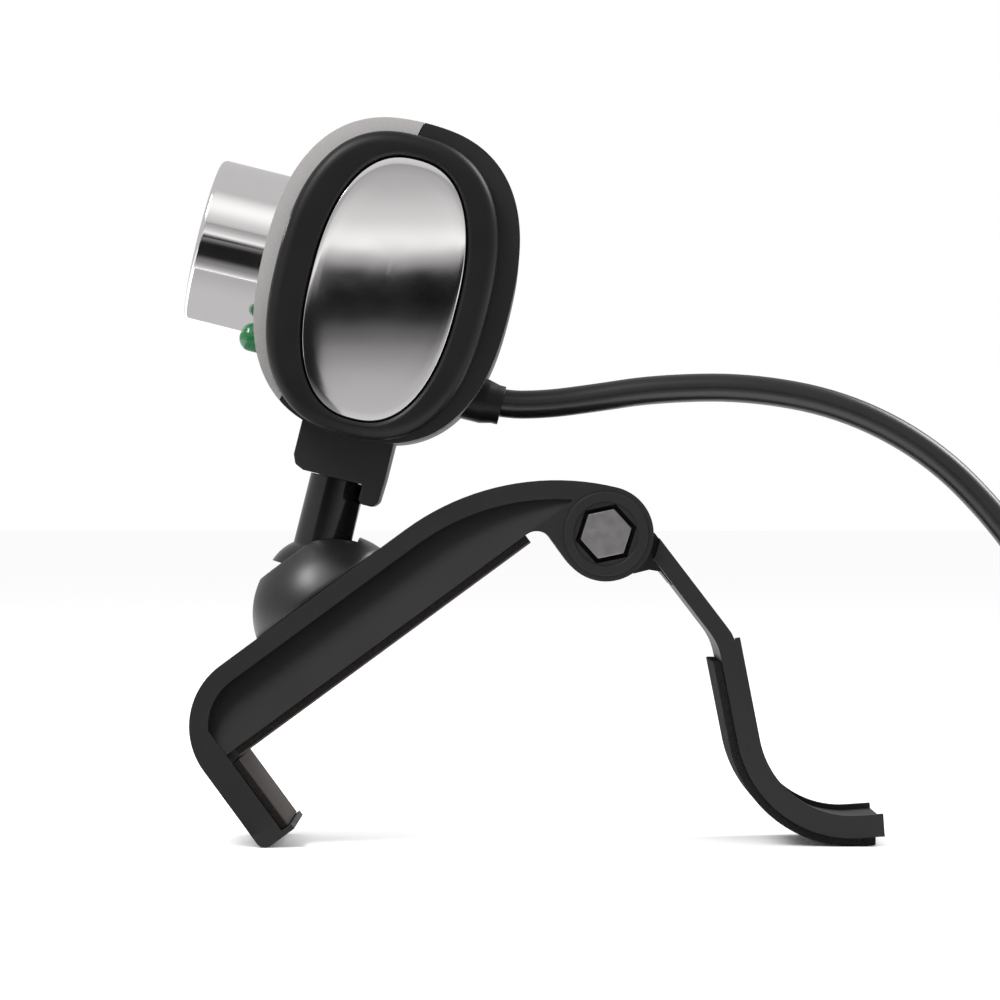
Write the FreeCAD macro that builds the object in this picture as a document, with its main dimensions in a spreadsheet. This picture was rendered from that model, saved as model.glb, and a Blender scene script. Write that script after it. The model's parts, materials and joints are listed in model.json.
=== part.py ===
import FreeCAD, Part
import Sketcher
import math
import os

# A small USB camera on a hinged clip. +Z is up, the lens looks towards -Y, and X runs across
# the width. The clip stands on the toe of its hook and on the pad of its rear leg, at Z = 0.
# All lengths are in millimetres and all angles in degrees.

V = FreeCAD.Vector
doc = FreeCAD.newDocument("clip_camera")

# ---------------------------------------------------------------- driving dimensions

SIZES = {
    # the clip arm, in its own frame: along the underside from the hook, and up from it
    "clip_width": 26.0,
    "arm_pitch": 36.3,
    "arm_back": 46.9,
    "arm_depth": 11.6,
    "arm_corner": 11.5,
    "arm_flat_end": 42.5,
    "rim_band": 2.9,
    "web_recess": 3.0,
    "web_edge": 0.4,
    "throat_fillet": 2.5,
    "hook_wall": 4.2,
    "hook_drop": 15.2,
    "toe_lip": 1.8,
    "toe_lip_wall": 0.9,
    "toe_round": 1.5,
    "hollow_start": 13.0,
    "hollow_end": 47.0,
    "hollow_half": 8.4,
    "crown_wall": 2.6,
    "cover_wall": 1.4,
    "cover_margin": 6.5,
    "cover_lip": 1.0,
    "cover_screw_radius": 1.1,
    "cover_screw_long": 5.6,
    # foam and its rubber facing
    "foam_wall": 1.1,
    "facing_wall": 0.3,
    "pad_inset": 1.0,
    "pad_gap": 0.2,
    # the hinge between the arm and the rear leg
    "hinge_reach": 66.9,
    "hinge_drop": 7.1,
    "boss_radius": 7.3,
    "knuckle_half": 7.3,
    "hinge_washer": 0.5,
    "washer_radius": 5.5,
    "bolt_radius": 2.0,
    "bolt_flats": 7.0,
    "bolt_head": 2.8,
    "bolt_turn": 5.9,
    "hex_pocket_flats": 8.3,
    "hex_pocket_depth": 3.0,
    # the rear leg
    "leg_width": 23.0,
    "leg_wall": 2.65,
    "leg_pad_wall": 1.3,
    "leg_rib": 0.8,
    "leg_pad_top": 3.4,
    "leg_pad_end": 1.2,
    # the turret dome on the arm and the tilting stem in it
    "turret_reach": 25.4,
    "dome_radius": 12.6,
    "dome_sink": 3.8,
    "dome_floor": 0.5,
    "spigot_radius": 6.6,
    "spigot_wall": 4.2,
    "retainer_radius": 8.2,
    "retainer_wall": 1.0,
    "turret_screw_radius": 1.25,
    "turret_screw_head": 2.3,
    "turret_head_high": 1.7,
    "turret_bite": 1.4,
    "pivot_rise": 1.8,
    "hood_radius": 7.3,
    "hood_spread": 72.0,
    "knuckle_radius": 4.2,
    "knuckle_wide": 4.4,
    "tilt_pin_radius": 1.5,
    "stem_radius": 4.4,
    "stem_lean": 14.0,
    "stem_reach": 17.1,
    "tilt_back": 5.0,
    "tilt_forward": 43.0,
    "pan_spigot_radius": 3.2,
    "pan_shelf_drop": 23.6,
    "pan_washer_radius": 4.6,
    "pan_washer_wall": 0.8,
    "pan_screw_head": 2.8,
    "pan_head_high": 1.8,
    "pan_screw_bite": 8.0,
    # the camera head, in its own frame: u runs backwards, w runs up the stem
    "head_rise": 47.5,
    "drum_long": 19.3,
    "drum_tall": 24.7,
    "drum_half": 14.2,
    "shell_wall": 2.0,
    "frame_long": 16.5,
    "frame_tall": 23.45,
    "frame_wall": 4.3,
    "frame_round": 1.9,
    "frame_floor": 1.3,
    "disc_long": 11.3,
    "disc_tall": 20.4,
    "disc_crown": 0.8,
    "disc_proud": 0.3,
    "neck_half": 7.3,
    "neck_wide": 8.0,
    "neck_drop": 30.4,
    "neck_top": 18.4,
    "neck_flange": 1.4,
    "neck_flange_wall": 1.2,
    "barrel_radius": 12.85,
    "barrel_wall": 1.6,
    "barrel_reach": 29.4,
    "barrel_back": 13.6,
    "barrel_lip": 1.4,
    "barrel_lip_wall": 1.2,
    "barrel_edge": 0.8,
    "lens_height": 0.7,
    "ring_wall": 3.6,
    "cell_radius": 7.1,
    "cell_set_back": 5.2,
    "cell_back": 8.0,
    "glass_radius": 5.2,
    "rear_glass_radius": 3.5,
    "mount_wall": 1.5,
    "mount_front": 14.8,
    "led_radius": 2.2,
    "led_side": 9.5,
    "led_height": -12.5,
    "led_flange": 0.6,
    "led_tip": 19.7,
    "board_front": -3.5,
    "board_wall": 1.6,
    "board_block": 2.2,
    "board_block_deep": 5.5,
    "board_screw_bite": 4.2,
    "board_half": 11.0,
    "board_low": -15.0,
    "board_high": 17.0,
    # the cable, its coil and its plug
    "cable_radius": 2.25,
    "exit_drop": 13.2,
    "grommet_wall": 1.3,
    "coil_mean": 25.0,
    "coil_turns_across": 2.0,
    "coil_layers": 4.0,
    "coil_set_back": 126.0,
    "coil_side": 10.0,
    "plug_wide": 16.0,
    "plug_high": 8.0,
    "plug_long": 24.0,
    "connector_wide": 12.0,
    "connector_high": 4.5,
    "connector_long": 13.5,
    "connector_wall": 0.4,
    "relief_long": 9.0,
    "relief_wall": 1.6,
    # small screws
    "small_head_wall": 0.9,
    "frame_screw_radius": 1.0,
    "frame_screw_head": 1.8,
    "frame_screw_bite": 6.0,
    "frame_boss": 2.4,
    "board_screw_radius": 0.9,
    "board_screw_head": 1.7,
    # clearances
    "running_gap": 0.1,
    "seat_gap": 0.05,
    "swing_gap": 0.25,
}

sheet = doc.addObject("Spreadsheet::Sheet", "Sizes")
for row, (name, number) in enumerate(SIZES.items(), start=1):
    sheet.set(f"A{row}", name)
    sheet.set(f"B{row}", str(number))
    sheet.setAlias(f"B{row}", name)
doc.recompute()


class Size:
    """A number together with the spreadsheet formula that gives it."""

    def __init__(self, value, formula):
        self.value = float(value)
        self.formula = formula

    def joined(self, other, sign, swap=False):
        other = other if isinstance(other, Size) else Size(other, f"({float(other)})")
        a, b = (other, self) if swap else (self, other)
        results = {"+": a.value + b.value, "-": a.value - b.value, "*": a.value * b.value}
        value = a.value / b.value if sign == "/" else results[sign]
        return Size(value, f"({a.formula} {sign} {b.formula})")

    def __add__(self, other):
        return self.joined(other, "+")

    def __radd__(self, other):
        return self.joined(other, "+", swap=True)

    def __sub__(self, other):
        return self.joined(other, "-")

    def __rsub__(self, other):
        return self.joined(other, "-", swap=True)

    def __mul__(self, other):
        return self.joined(other, "*")

    def __rmul__(self, other):
        return self.joined(other, "*", swap=True)

    def __truediv__(self, other):
        return self.joined(other, "/")

    def __neg__(self):
        return self.joined(-1.0, "*")

    def __float__(self):
        return self.value


def size(name):
    return Size(sheet.get(name), f"Sizes.{name}")


def bind(thing, prop, amount):
    """Set a property, and bind it to the sheet where the amount comes from there."""
    setattr(thing, prop, float(amount))
    if isinstance(amount, Size):
        thing.setExpression(prop, amount.formula)


def bind_place(thing, corner, turn=None):
    thing.Placement = FreeCAD.Placement(V(*map(float, corner)), turn or FreeCAD.Rotation())
    for axis, amount in zip("xyz", corner):
        if isinstance(amount, Size):
            thing.setExpression(f"Placement.Base.{axis}", amount.formula)


# ---------------------------------------------------------------- frames of the moving groups

TILT_AXIS = V(1, 0, 0)


def turned_frame(y, z, angle):
    return FreeCAD.Placement(V(0, y, z), FreeCAD.Rotation(TILT_AXIS, angle))


pitch = math.radians(float(size("arm_pitch")))
toe_along = float(size("toe_round") - size("hook_wall"))
toe_down = float(size("toe_round") - size("hook_drop"))
arm_height = float(size("toe_round")) - toe_along * math.sin(pitch) - toe_down * math.cos(pitch)
ARM = turned_frame(-float(size("arm_back")), arm_height, float(size("arm_pitch")))
ARM_TOP = size("arm_depth")
PIVOT_UP = ARM_TOP + size("pivot_rise")
TURRET = ARM.multiply(FreeCAD.Placement(V(0, float(size("turret_reach")), 0), FreeCAD.Rotation()))
HINGE_AT = ARM.multVec(V(0, float(size("hinge_reach")), -float(size("hinge_drop"))))
PIVOT_AT = TURRET.multVec(V(0, 0, float(PIVOT_UP)))
STEM = turned_frame(PIVOT_AT.y, PIVOT_AT.z, -float(size("stem_lean")))
HEAD = STEM.multiply(FreeCAD.Placement(V(0, 0, float(size("head_rise"))), FreeCAD.Rotation()))
LEG = FreeCAD.Placement(HINGE_AT, FreeCAD.Rotation())
WORLD = FreeCAD.Placement()

# How far a cutter runs past the face that it opens.
PAST = 1.0

# ---------------------------------------------------------------- small building helpers

subparts = []


def subpart(thing, label, place):
    """Name a finished piece and put it in its place in the camera."""
    thing.Label = label
    thing.Placement = place
    subparts.append(thing)
    return thing


def block(name, low, high):
    """A box between two opposite corners."""
    box = doc.addObject("Part::Box", name)
    for side, a, b in zip(("Length", "Width", "Height"), low, high):
        bind(box, side, b - a)
    bind_place(box, low)
    return box


AXIS_TURN = {
    "x": FreeCAD.Rotation(V(0, 1, 0), 90),
    "y": FreeCAD.Rotation(V(1, 0, 0), -90),
    "z": FreeCAD.Rotation(),
}


def rod(name, start, radius, length, axis):
    """A round bar from its start point along x, y or z."""
    bar = doc.addObject("Part::Cylinder", name)
    bind(bar, "Radius", radius)
    bind(bar, "Height", length)
    bind_place(bar, start, AXIS_TURN[axis])
    return bar


def ball(name, centre, radius):
    sphere = doc.addObject("Part::Sphere", name)
    bind(sphere, "Radius", radius)
    bind_place(sphere, centre)
    return sphere


def fuse(name, parts):
    joined = doc.addObject("Part::MultiFuse", name)
    joined.Shapes = parts
    joined.Refine = True
    return joined


def grouped(name, things):
    """Several solids, or one, held as one piece that has a Placement of its own."""
    group = doc.addObject("Part::Compound", name)
    group.Links = things
    return group


def cut(name, base, tools):
    left = doc.addObject("Part::Cut", name)
    left.Base = base
    left.Tool = tools[0] if len(tools) == 1 else fuse(name + "_cutters", tools)
    return left


def common(name, parts):
    shared = doc.addObject("Part::MultiCommon", name)
    shared.Shapes = parts
    return shared


def across(name, wire, low, high):
    """A closed outline in the YZ plane, extruded across the width from low to high."""
    outline = doc.addObject("Part::Feature", name + "_outline")
    outline.Shape = wire
    bar = doc.addObject("Part::Extrusion", name)
    bar.Base = outline
    bar.DirMode = "Custom"
    bar.Dir = V(1, 0, 0)
    bar.Solid = True
    bind(bar, "LengthFwd", high)
    bind(bar, "LengthRev", -low)
    return bar


def point(y, z):
    return V(0, float(y), float(z))


def polygon(corners):
    points = [point(y, z) for y, z in corners]
    return Part.makePolygon(points + points[:1])


def rounded_path(corners, radii):
    """Edges through the corners, each inner corner rounded by a tangent arc of its radius."""
    edges = []
    start = corners[0]
    for before, corner, after, radius in zip(corners, corners[1:], corners[2:], radii):
        to_before = (before - corner).normalize()
        to_after = (after - corner).normalize()
        half_turn = (math.pi - to_before.getAngle(to_after)) / 2
        reach = radius * math.tan(half_turn)
        middle = (to_before + to_after).normalize()
        bow = radius / math.cos(half_turn) - radius
        first = corner + to_before * reach
        last = corner + to_after * reach
        edges.append(Part.LineSegment(start, first).toShape())
        edges.append(Part.Arc(first, corner + middle * bow, last).toShape())
        start = last
    edges.append(Part.LineSegment(start, corners[-1]).toShape())
    return edges


def oval(long_half, tall_half, power, centre, shift=0.0):
    """A rounded oval |u/a|^n + |w/b|^n = 1 in the YZ plane, as one smooth closed curve."""
    count = 40
    points = []
    for k in range(count):
        angle = 2 * math.pi * (k + 0.5) / count
        c, s = math.cos(angle), math.sin(angle)
        u = (long_half + shift) * math.copysign(abs(c) ** (2 / power), c)
        w = (tall_half + shift) * math.copysign(abs(s) ** (2 / power), s)
        points.append(point(centre[0] + u, centre[1] + w))
    curve = Part.BSplineCurve()
    curve.interpolate(points, PeriodicFlag=True)
    return Part.Wire(curve.toShape())


def new_body(label, place):
    return subpart(doc.addObject("PartDesign::Body", label), label, place)


def new_sketch(body, name, role):
    sketch = body.newObject("Sketcher::SketchObject", name)
    plane = next(f for f in body.Origin.OriginFeatures if f.Role == role)
    sketch.AttachmentSupport = [(plane, "")]
    sketch.MapMode = "FlatFace"
    return sketch


def pin_point(sketch, element, where, spot):
    """Hold a point of a sketch at its two coordinates."""
    for kind, amount in zip(("DistanceX", "DistanceY"), spot):
        row = sketch.addConstraint(
            Sketcher.Constraint(kind, -1, 1, element, where, float(amount))
        )
        if isinstance(amount, Size):
            sketch.setExpression(f"Constraints[{row}]", amount.formula)


def draw_outline(sketch, corners):
    """A closed chain of straight lines with every corner held in place."""
    start = sketch.GeometryCount
    count = len(corners)
    points = [V(float(a), float(b), 0) for a, b in corners]
    for a, b in zip(points, points[1:] + points[:1]):
        sketch.addGeometry(Part.LineSegment(a, b))
    for k in range(count):
        after = start + (k + 1) % count
        sketch.addConstraint(Sketcher.Constraint("Coincident", start + k, 2, after, 1))
    for k, spot in enumerate(corners):
        pin_point(sketch, start + k, 1, spot)


def draw_circle(sketch, centre, radius):
    middle = V(float(centre[0]), float(centre[1]), 0)
    element = sketch.addGeometry(Part.Circle(middle, V(0, 0, 1), float(radius)))
    row = sketch.addConstraint(Sketcher.Constraint("Radius", element, float(radius)))
    if isinstance(radius, Size):
        sketch.setExpression(f"Constraints[{row}]", radius.formula)
    pin_point(sketch, element, 3, centre)


def lathe(label, place, section):
    """A body turned about its own Z axis from a half section of (radius, height) corners."""
    body = new_body(label, place)
    sketch = new_sketch(body, label + "_section", "XZ_Plane")
    draw_outline(sketch, section)
    turned = body.newObject("PartDesign::Revolution", label + "_turned")
    turned.Profile = sketch
    turned.ReferenceAxis = (sketch, ["V_Axis"])
    return body


def padded_outline(body, name, role, corners, length, holes=()):
    sketch = new_sketch(body, name + "_sketch", role)
    draw_outline(sketch, corners)
    for centre, radius in holes:
        draw_circle(sketch, centre, radius)
    pad = body.newObject("PartDesign::Pad", name)
    pad.Profile = sketch
    bind(pad, "Length", length)
    return pad


def hexagon(flats, turn):
    """Corners of a hexagon with a point up, turned by an angle."""
    corner = flats / math.sqrt(3)
    angles = [math.radians(30 + 60 * k + turn) for k in range(6)]
    return [(corner * math.cos(a), corner * math.sin(a)) for a in angles]


def moved(frame, y=0.0, z=0.0, x=0.0, turn=None):
    shift = FreeCAD.Placement(V(float(x), float(y), float(z)), turn or FreeCAD.Rotation())
    return frame.multiply(shift)


# Turns that lay a body's own Z axis along another direction of its frame.
FACE_FRONT = FreeCAD.Rotation(V(1, 0, 0), 90)
FACE_BACK = FreeCAD.Rotation(V(1, 0, 0), -90)
FACE_RIGHT = FreeCAD.Rotation(V(0, 1, 0), 90)
FACE_LEFT = FreeCAD.Rotation(V(0, 1, 0), -90)

clip_half = size("clip_width") / 2
gap = size("running_gap")
seat = size("seat_gap")
swing = size("swing_gap")

# ---------------------------------------------------------------- clip arm


def arm_outline(inset=0.0):
    """The side outline of the arm and its hook, drawn in from its outer edge by an inset."""
    top = float(ARM_TOP) - inset
    outer = -float(size("hook_wall")) + inset
    corner = float(size("arm_corner")) - inset
    reach = float(size("hinge_reach"))
    drop = -float(size("hinge_drop"))
    boss = float(size("boss_radius")) - inset
    flat_end = float(size("arm_flat_end"))
    fillet = float(size("throat_fillet"))
    toe = float(size("toe_round"))
    foot = -float(size("hook_drop"))
    diagonal = math.sqrt(0.5)
    # the crown arc is tangent to the flat top and to the hinge boss
    along = reach - flat_end
    down = top - drop
    crown = (along**2 + down**2 - boss**2) / (2 * (down - boss))
    centre = (flat_end, top - crown)
    towards = math.atan2(drop - centre[1], along)
    middle = (towards + math.pi / 2) / 2
    left = reach - boss
    edges = []

    def line(a, b):
        edges.append(Part.LineSegment(point(*a), point(*b)).toShape())

    def arc(a, b, c):
        edges.append(Part.Arc(point(*a), point(*b), point(*c)).toShape())

    def polar(hub, radius, angle):
        return (hub[0] + radius * math.cos(angle), hub[1] + radius * math.sin(angle))

    lip = float(size("toe_lip"))
    lip_top = foot + float(size("toe_lip_wall"))
    line((0, 0), (0, lip_top))
    line((0, lip_top), (lip, lip_top))
    line((lip, lip_top), (lip, foot))
    line((lip, foot), (outer + toe, foot))
    hub = (outer + toe, foot + toe)
    arc((hub[0], foot), (hub[0] - toe * diagonal, hub[1] - toe * diagonal), (outer, hub[1]))
    hub = (outer + corner, top - corner)
    line((outer, foot + toe), (outer, hub[1]))
    arc((outer, hub[1]), polar(hub, corner, 0.75 * math.pi), (hub[0], top))
    line((hub[0], top), (flat_end, top))
    tangent = polar(centre, crown, towards)
    arc((flat_end, top), polar(centre, crown, middle), tangent)
    side = (left, drop)
    arc(tangent, polar((reach, drop), boss, (towards - math.pi) / 2), side)
    hub = (left - fillet, -fillet)
    line(side, (left, -fillet))
    arc((left, -fillet), polar(hub, fillet, math.pi / 4), (left - fillet, 0))
    line((left - fillet, 0), (0, 0))
    return Part.Wire(edges)


def side_recess(side):
    """The hollow of one side face: deepest under the rim and nearly flush at the underside."""
    reach = size("hinge_reach")
    band = float(size("rim_band"))
    inner = across(f"recess_{side}", arm_outline(band), clip_half - size("web_recess"), clip_half)
    deep = float(clip_half - size("web_recess"))
    shallow = float(clip_half - size("web_edge"))
    out = float(clip_half) + 1.0
    top = float(ARM_TOP - size("rim_band"))
    section = [V(deep, 0, top), V(out, 0, top), V(out, 0, 0), V(shallow, 0, 0)]
    wedge = doc.addObject("Part::Feature", f"wedge_{side}")
    face = Part.Face(Part.makePolygon(section + section[:1]))
    wedge.Shape = face.extrude(V(0, float(reach), 0))
    hollow = common(f"web_{side}", [inner, wedge])
    kept = rod(f"cheek_{side}", (0, reach, -size("hinge_drop")), size("boss_radius"), clip_half, "x")
    return cut(f"web_clear_{side}", hollow, [kept])


def mirrored(name, thing):
    other = doc.addObject("Part::Mirroring", name)
    other.Source = thing
    other.Normal = V(1, 0, 0)
    other.Base = V(0, 0, 0)
    return other


slot_half = size("knuckle_half") + gap + size("hinge_washer")
spigot_bottom = ARM_TOP - size("spigot_wall")
hollow_top = ARM_TOP - size("crown_wall")


def make_clip_arm():
    solid = across("arm_solid", arm_outline(), -clip_half, clip_half)
    web = side_recess("right")
    web_left = mirrored("web_left", web)
    reach = size("hinge_reach")
    drop = -size("hinge_drop")
    slot_radius = size("boss_radius") + swing * 2
    slot = rod("hinge_slot", (-slot_half, reach, drop), slot_radius, slot_half * 2, "x")
    bore_radius = size("bolt_radius") + gap
    bore = rod("hinge_bore", (-clip_half, reach, drop), bore_radius, clip_half * 2, "x")
    half = size("hollow_half")
    start, end = size("hollow_start"), size("hollow_end")
    hollow = block("arm_hollow", (-half, start, -PAST), (half, end, hollow_top))
    # the cover lies flush in a rebate around the hollow
    rebate = size("cover_wall") + seat
    margin = size("cover_margin")
    lip_half = half + size("cover_lip")
    cover_seat = block(
        "cover_seat", (-lip_half, start - margin, -PAST), (lip_half, end + margin, rebate)
    )
    mid = size("turret_reach")
    bore_out = size("spigot_radius") + gap * 2
    passage = rod("turret_bore", (0, mid, 0), bore_out, ARM_TOP + PAST, "z")
    screw_bore = size("cover_screw_radius") + seat
    pilots = [
        rod(f"cover_pilot_{k}", (0, spot, 0), screw_bore, size("cover_screw_long") + gap * 4, "z")
        for k, spot in enumerate(cover_screw_spots())
    ]
    deep = size("hex_pocket_depth")
    flats = hexagon(float(size("hex_pocket_flats")), float(size("bolt_turn")))
    corners = [(reach + y, drop + z) for y, z in flats]
    pockets = [
        across(f"hex_pocket_{k}", polygon(corners), low, low + deep + PAST)
        for k, low in enumerate((clip_half - deep, -clip_half - PAST))
    ]
    # a boss around the turret's bore reaches from the crown down to the retaining washer
    boss_radius = size("retainer_radius") + swing
    boss_high = size("spigot_wall") - size("crown_wall")
    boss = rod("turret_boss", (0, mid, spigot_bottom + swing), boss_radius, boss_high + PAST, "z")
    emptied = cut("arm_hollow_cut", hollow, [boss])
    tools = [web, web_left, slot, bore, emptied, cover_seat, passage] + pilots + pockets
    subpart(cut("clip_arm_cut", solid, tools), "clip_arm", ARM)


def cover_screw_spots():
    """Where the cover's two screws stand along the arm."""
    inset = size("cover_margin") / 2
    return (size("hollow_start") - inset, size("hollow_end") + inset)


def make_arm_cover():
    body = new_body("arm_cover", ARM)
    half = size("hollow_half") + size("cover_lip") - seat
    margin = size("cover_margin")
    near = size("hollow_start") - margin + seat
    far = size("hollow_end") + margin - seat
    corners = [(-half, near), (half, near), (half, far), (-half, far)]
    holes = [((0.0, spot), size("cover_screw_radius") + seat) for spot in cover_screw_spots()]
    padded_outline(body, "arm_cover_plate", "XY_Plane", corners, size("cover_wall"), holes)


def make_cover_screws():
    screws = [
        rod(f"cover_screw_{k}", (0, spot, 0.0), size("cover_screw_radius"),
            size("cover_screw_long"), "z")
        for k, spot in enumerate(cover_screw_spots())
    ]
    subpart(grouped("cover_screws_set", screws), "cover_screws", ARM)


def as_size(amount):
    return amount if isinstance(amount, Size) else Size(amount, f"({float(amount)})")


def make_clip_pads():
    """Foam and its thin rubber facing, on the arm's underside and on the hook's inner face."""
    half = clip_half - size("pad_inset")
    foam = size("foam_wall")
    face = foam + size("facing_wall")
    clear = size("pad_gap")
    near = face + clear
    far = size("hinge_reach") - size("boss_radius") - size("throat_fillet") - swing
    low = size("toe_lip_wall") - size("hook_drop") + gap
    pads = {
        "arm_pad": ((-half, near, -foam), (half, far, 0.0)),
        "arm_pad_facing": ((-half, near, -face), (half, far, -foam)),
        "hook_pad": ((-half, 0.0, low), (half, foam, -near)),
        "hook_pad_facing": ((-half, foam, low), (half, face, -near)),
    }
    for label, (near_corner, far_corner) in pads.items():
        low_corner = [as_size(amount) for amount in near_corner]
        high_corner = [as_size(amount) for amount in far_corner]
        feature = new_body(label, ARM).newObject("PartDesign::AdditiveBox", label + "_slab")
        for side, a, b in zip(("Length", "Width", "Height"), low_corner, high_corner):
            bind(feature, side, b - a)
        bind_place(feature, low_corner)


# ---------------------------------------------------------------- hinge hardware


def raised_sketch(body, name, level):
    """A sketch on the body's own XY plane, lifted to a level."""
    sketch = new_sketch(body, name, "XY_Plane")
    sketch.AttachmentOffset = FreeCAD.Placement(V(0, 0, float(level)), FreeCAD.Rotation())
    sketch.setExpression("AttachmentOffset.Base.z", level.formula)
    return sketch


def pad_from(body, name, sketch, length, reverse=False):
    pad = body.newObject("PartDesign::Pad", name)
    pad.Profile = sketch
    pad.Reversed = reverse
    bind(pad, "Length", length)


def make_hinge_hardware():
    turn = float(size("bolt_turn"))
    flats = hexagon(float(size("bolt_flats")), turn)
    reach, drop = size("hinge_reach"), -size("hinge_drop")
    pocket_floor = clip_half - size("hex_pocket_depth")
    thread_end = size("hex_pocket_depth") - gap * 2
    # bolt: its hexagonal head stands in the right-hand pocket, its shank crosses the clip
    bolt = new_body("hinge_bolt", moved(ARM, reach, drop, turn=FACE_RIGHT))
    head = raised_sketch(bolt, "bolt_head_sketch", pocket_floor)
    draw_outline(head, [(-z, y) for y, z in flats])
    pad_from(bolt, "bolt_head", head, size("bolt_head"))
    shank = raised_sketch(bolt, "bolt_shank_sketch", pocket_floor)
    draw_circle(shank, (0.0, 0.0), size("bolt_radius"))
    pad_from(bolt, "bolt_shank", shank, pocket_floor * 2 + thread_end, reverse=True)
    # nut in the left-hand pocket
    nut = new_body("hinge_nut", moved(ARM, reach, drop, turn=FACE_LEFT))
    sketch = raised_sketch(nut, "nut_sketch", pocket_floor)
    draw_outline(sketch, [(z, y) for y, z in flats])
    draw_circle(sketch, (0.0, 0.0), size("bolt_radius") + seat)
    pad_from(nut, "nut_pad", sketch, thread_end)
    # two nylon washers between the cheeks and the knuckle of the leg
    washers = []
    wall = size("hinge_washer")
    for name, low in (("right", slot_half - wall), ("left", -slot_half)):
        ring = rod(f"washer_{name}", (low, reach, drop), size("washer_radius"), wall, "x")
        hole = rod(f"washer_hole_{name}", (low, reach, drop), size("bolt_radius") + gap, wall, "x")
        washers.append(cut(f"washer_cut_{name}", ring, [hole]))
    subpart(grouped("hinge_washer_set", washers), "hinge_washers", ARM)


# ---------------------------------------------------------------- rear leg

# Corners of the leg's centre line. The knuckle end is measured from the hinge centre.
# The foot is measured back from the hinge, and up from where the foam under it meets the floor.
LEG_NECK = [(6.6, -0.7), (18.5, -16.3)]
LEG_FOOT = [(24.4, -0.965), (42.7, 0.305)]
LEG_ROUND = [8.0, 16.5]
# A web fills the corner between the knuckle and the neck, measured from the hinge centre.
LEG_ROOT = [(0.0, 0.0), (6.9, 0.8), (12.4, -6.2), (10.3, -8.0), (8.6, -5.9), (6.8, -5.6),
            (4.4, -6.2)]


def leg_line():
    floor = -HINGE_AT.z + float(size("leg_wall")) / 2 + float(size("leg_pad_wall"))
    return [point(y, z) for y, z in LEG_NECK] + [point(y, z + floor) for y, z in LEG_FOOT]


def offset_line(corners, distance):
    """A chain of lines moved sideways by a distance, to its left."""
    moved_corners = []
    normals = []
    for a, b in zip(corners, corners[1:]):
        run = (b - a).normalize()
        normals.append(V(0, -run.z, run.y))
    for k, corner in enumerate(corners):
        near = normals[max(k - 1, 0)]
        far = normals[min(k, len(normals) - 1)]
        middle = (near + far).normalize()
        moved_corners.append(corner + middle * (distance / middle.dot(near)))
    return moved_corners


def leg_strip(right, left, start=0):
    """A closed outline between two offsets of the leg's centre line."""
    corners = leg_line()[start:]
    radii = LEG_ROUND[start:]
    sides = []
    for distance in (right, left):
        chain = offset_line(corners, distance)
        sides.append(rounded_path(chain, [r - distance for r in radii]))
    first, second = sides
    begin = first[0].firstVertex().Point
    finish = first[-1].lastVertex().Point
    other_begin = second[0].firstVertex().Point
    other_finish = second[-1].lastVertex().Point
    edges = first + [Part.LineSegment(finish, other_finish).toShape()]
    edges += [edge for edge in reversed(second)]
    edges.append(Part.LineSegment(other_begin, begin).toShape())
    return Part.Wire(Part.__sortEdges__(edges))


leg_half = size("leg_width") / 2


def make_rear_leg():
    wall = float(size("leg_wall"))
    knuckle_half = size("knuckle_half")
    knuckle = rod(
        "leg_knuckle", (-knuckle_half, 0, 0), size("boss_radius") - gap, knuckle_half * 2, "x"
    )
    neck = across("leg_neck", leg_strip(-wall / 2, wall / 2), -knuckle_half, knuckle_half)
    wide = across("leg_blade", leg_strip(-wall / 2, wall / 2), -leg_half, leg_half)
    clear_radius = size("boss_radius") + swing * 4
    ring = rod("leg_clearance", (-leg_half, 0, 0), clear_radius, leg_half * 2, "x")
    blade = cut("leg_blade_cut", wide, [ring])
    # raised ribs along both edges of the blade's upper side
    rib = float(size("leg_rib"))
    ribs = []
    rib_wide = size("leg_wall") / 2
    strip = leg_strip(wall / 2, wall / 2 + rib, start=1)
    for name, low in (("right", leg_half - rib_wide), ("left", -leg_half)):
        ribs.append(across(f"leg_rib_{name}", strip, low, low + rib_wide))
    web = across("leg_root", polygon(LEG_ROOT), -knuckle_half, knuckle_half)
    body = fuse("leg_fused", [knuckle, neck, blade, web] + ribs)
    bore = rod(
        "leg_bore", (-knuckle_half, 0, 0), size("bolt_radius") + gap, knuckle_half * 2, "x"
    )
    subpart(cut("rear_leg_cut", body, [bore]), "rear_leg", LEG)


def make_leg_pad():
    """Foam under the blade, from just below the knee to just short of the tip."""
    wall = float(size("leg_wall"))
    pad = float(size("leg_pad_wall"))
    half = leg_half - size("pad_inset")
    full = across("leg_pad_full", leg_strip(-wall / 2 - pad, -wall / 2, start=1), -half, half)
    line = leg_line()
    top = line[1].z - float(size("leg_pad_top"))
    tip = line[-1].y - float(size("leg_pad_end"))
    above = block("leg_pad_above", (-leg_half, 0.0, top), (leg_half, tip, 0.0))
    beyond = block("leg_pad_beyond", (-leg_half, tip, -HINGE_AT.z - PAST), (leg_half, tip * 2, top))
    subpart(cut("leg_pad_cut", full, [above, beyond]), "leg_pad", LEG)


# ---------------------------------------------------------------- turret


# Shares of the dome's radius: the mouth over the hood, and the two ends of the tilt pin.
MOUTH_SHARE = 0.82
PIN_OPEN_END = 0.82
PIN_BLIND_END = 0.68


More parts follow.
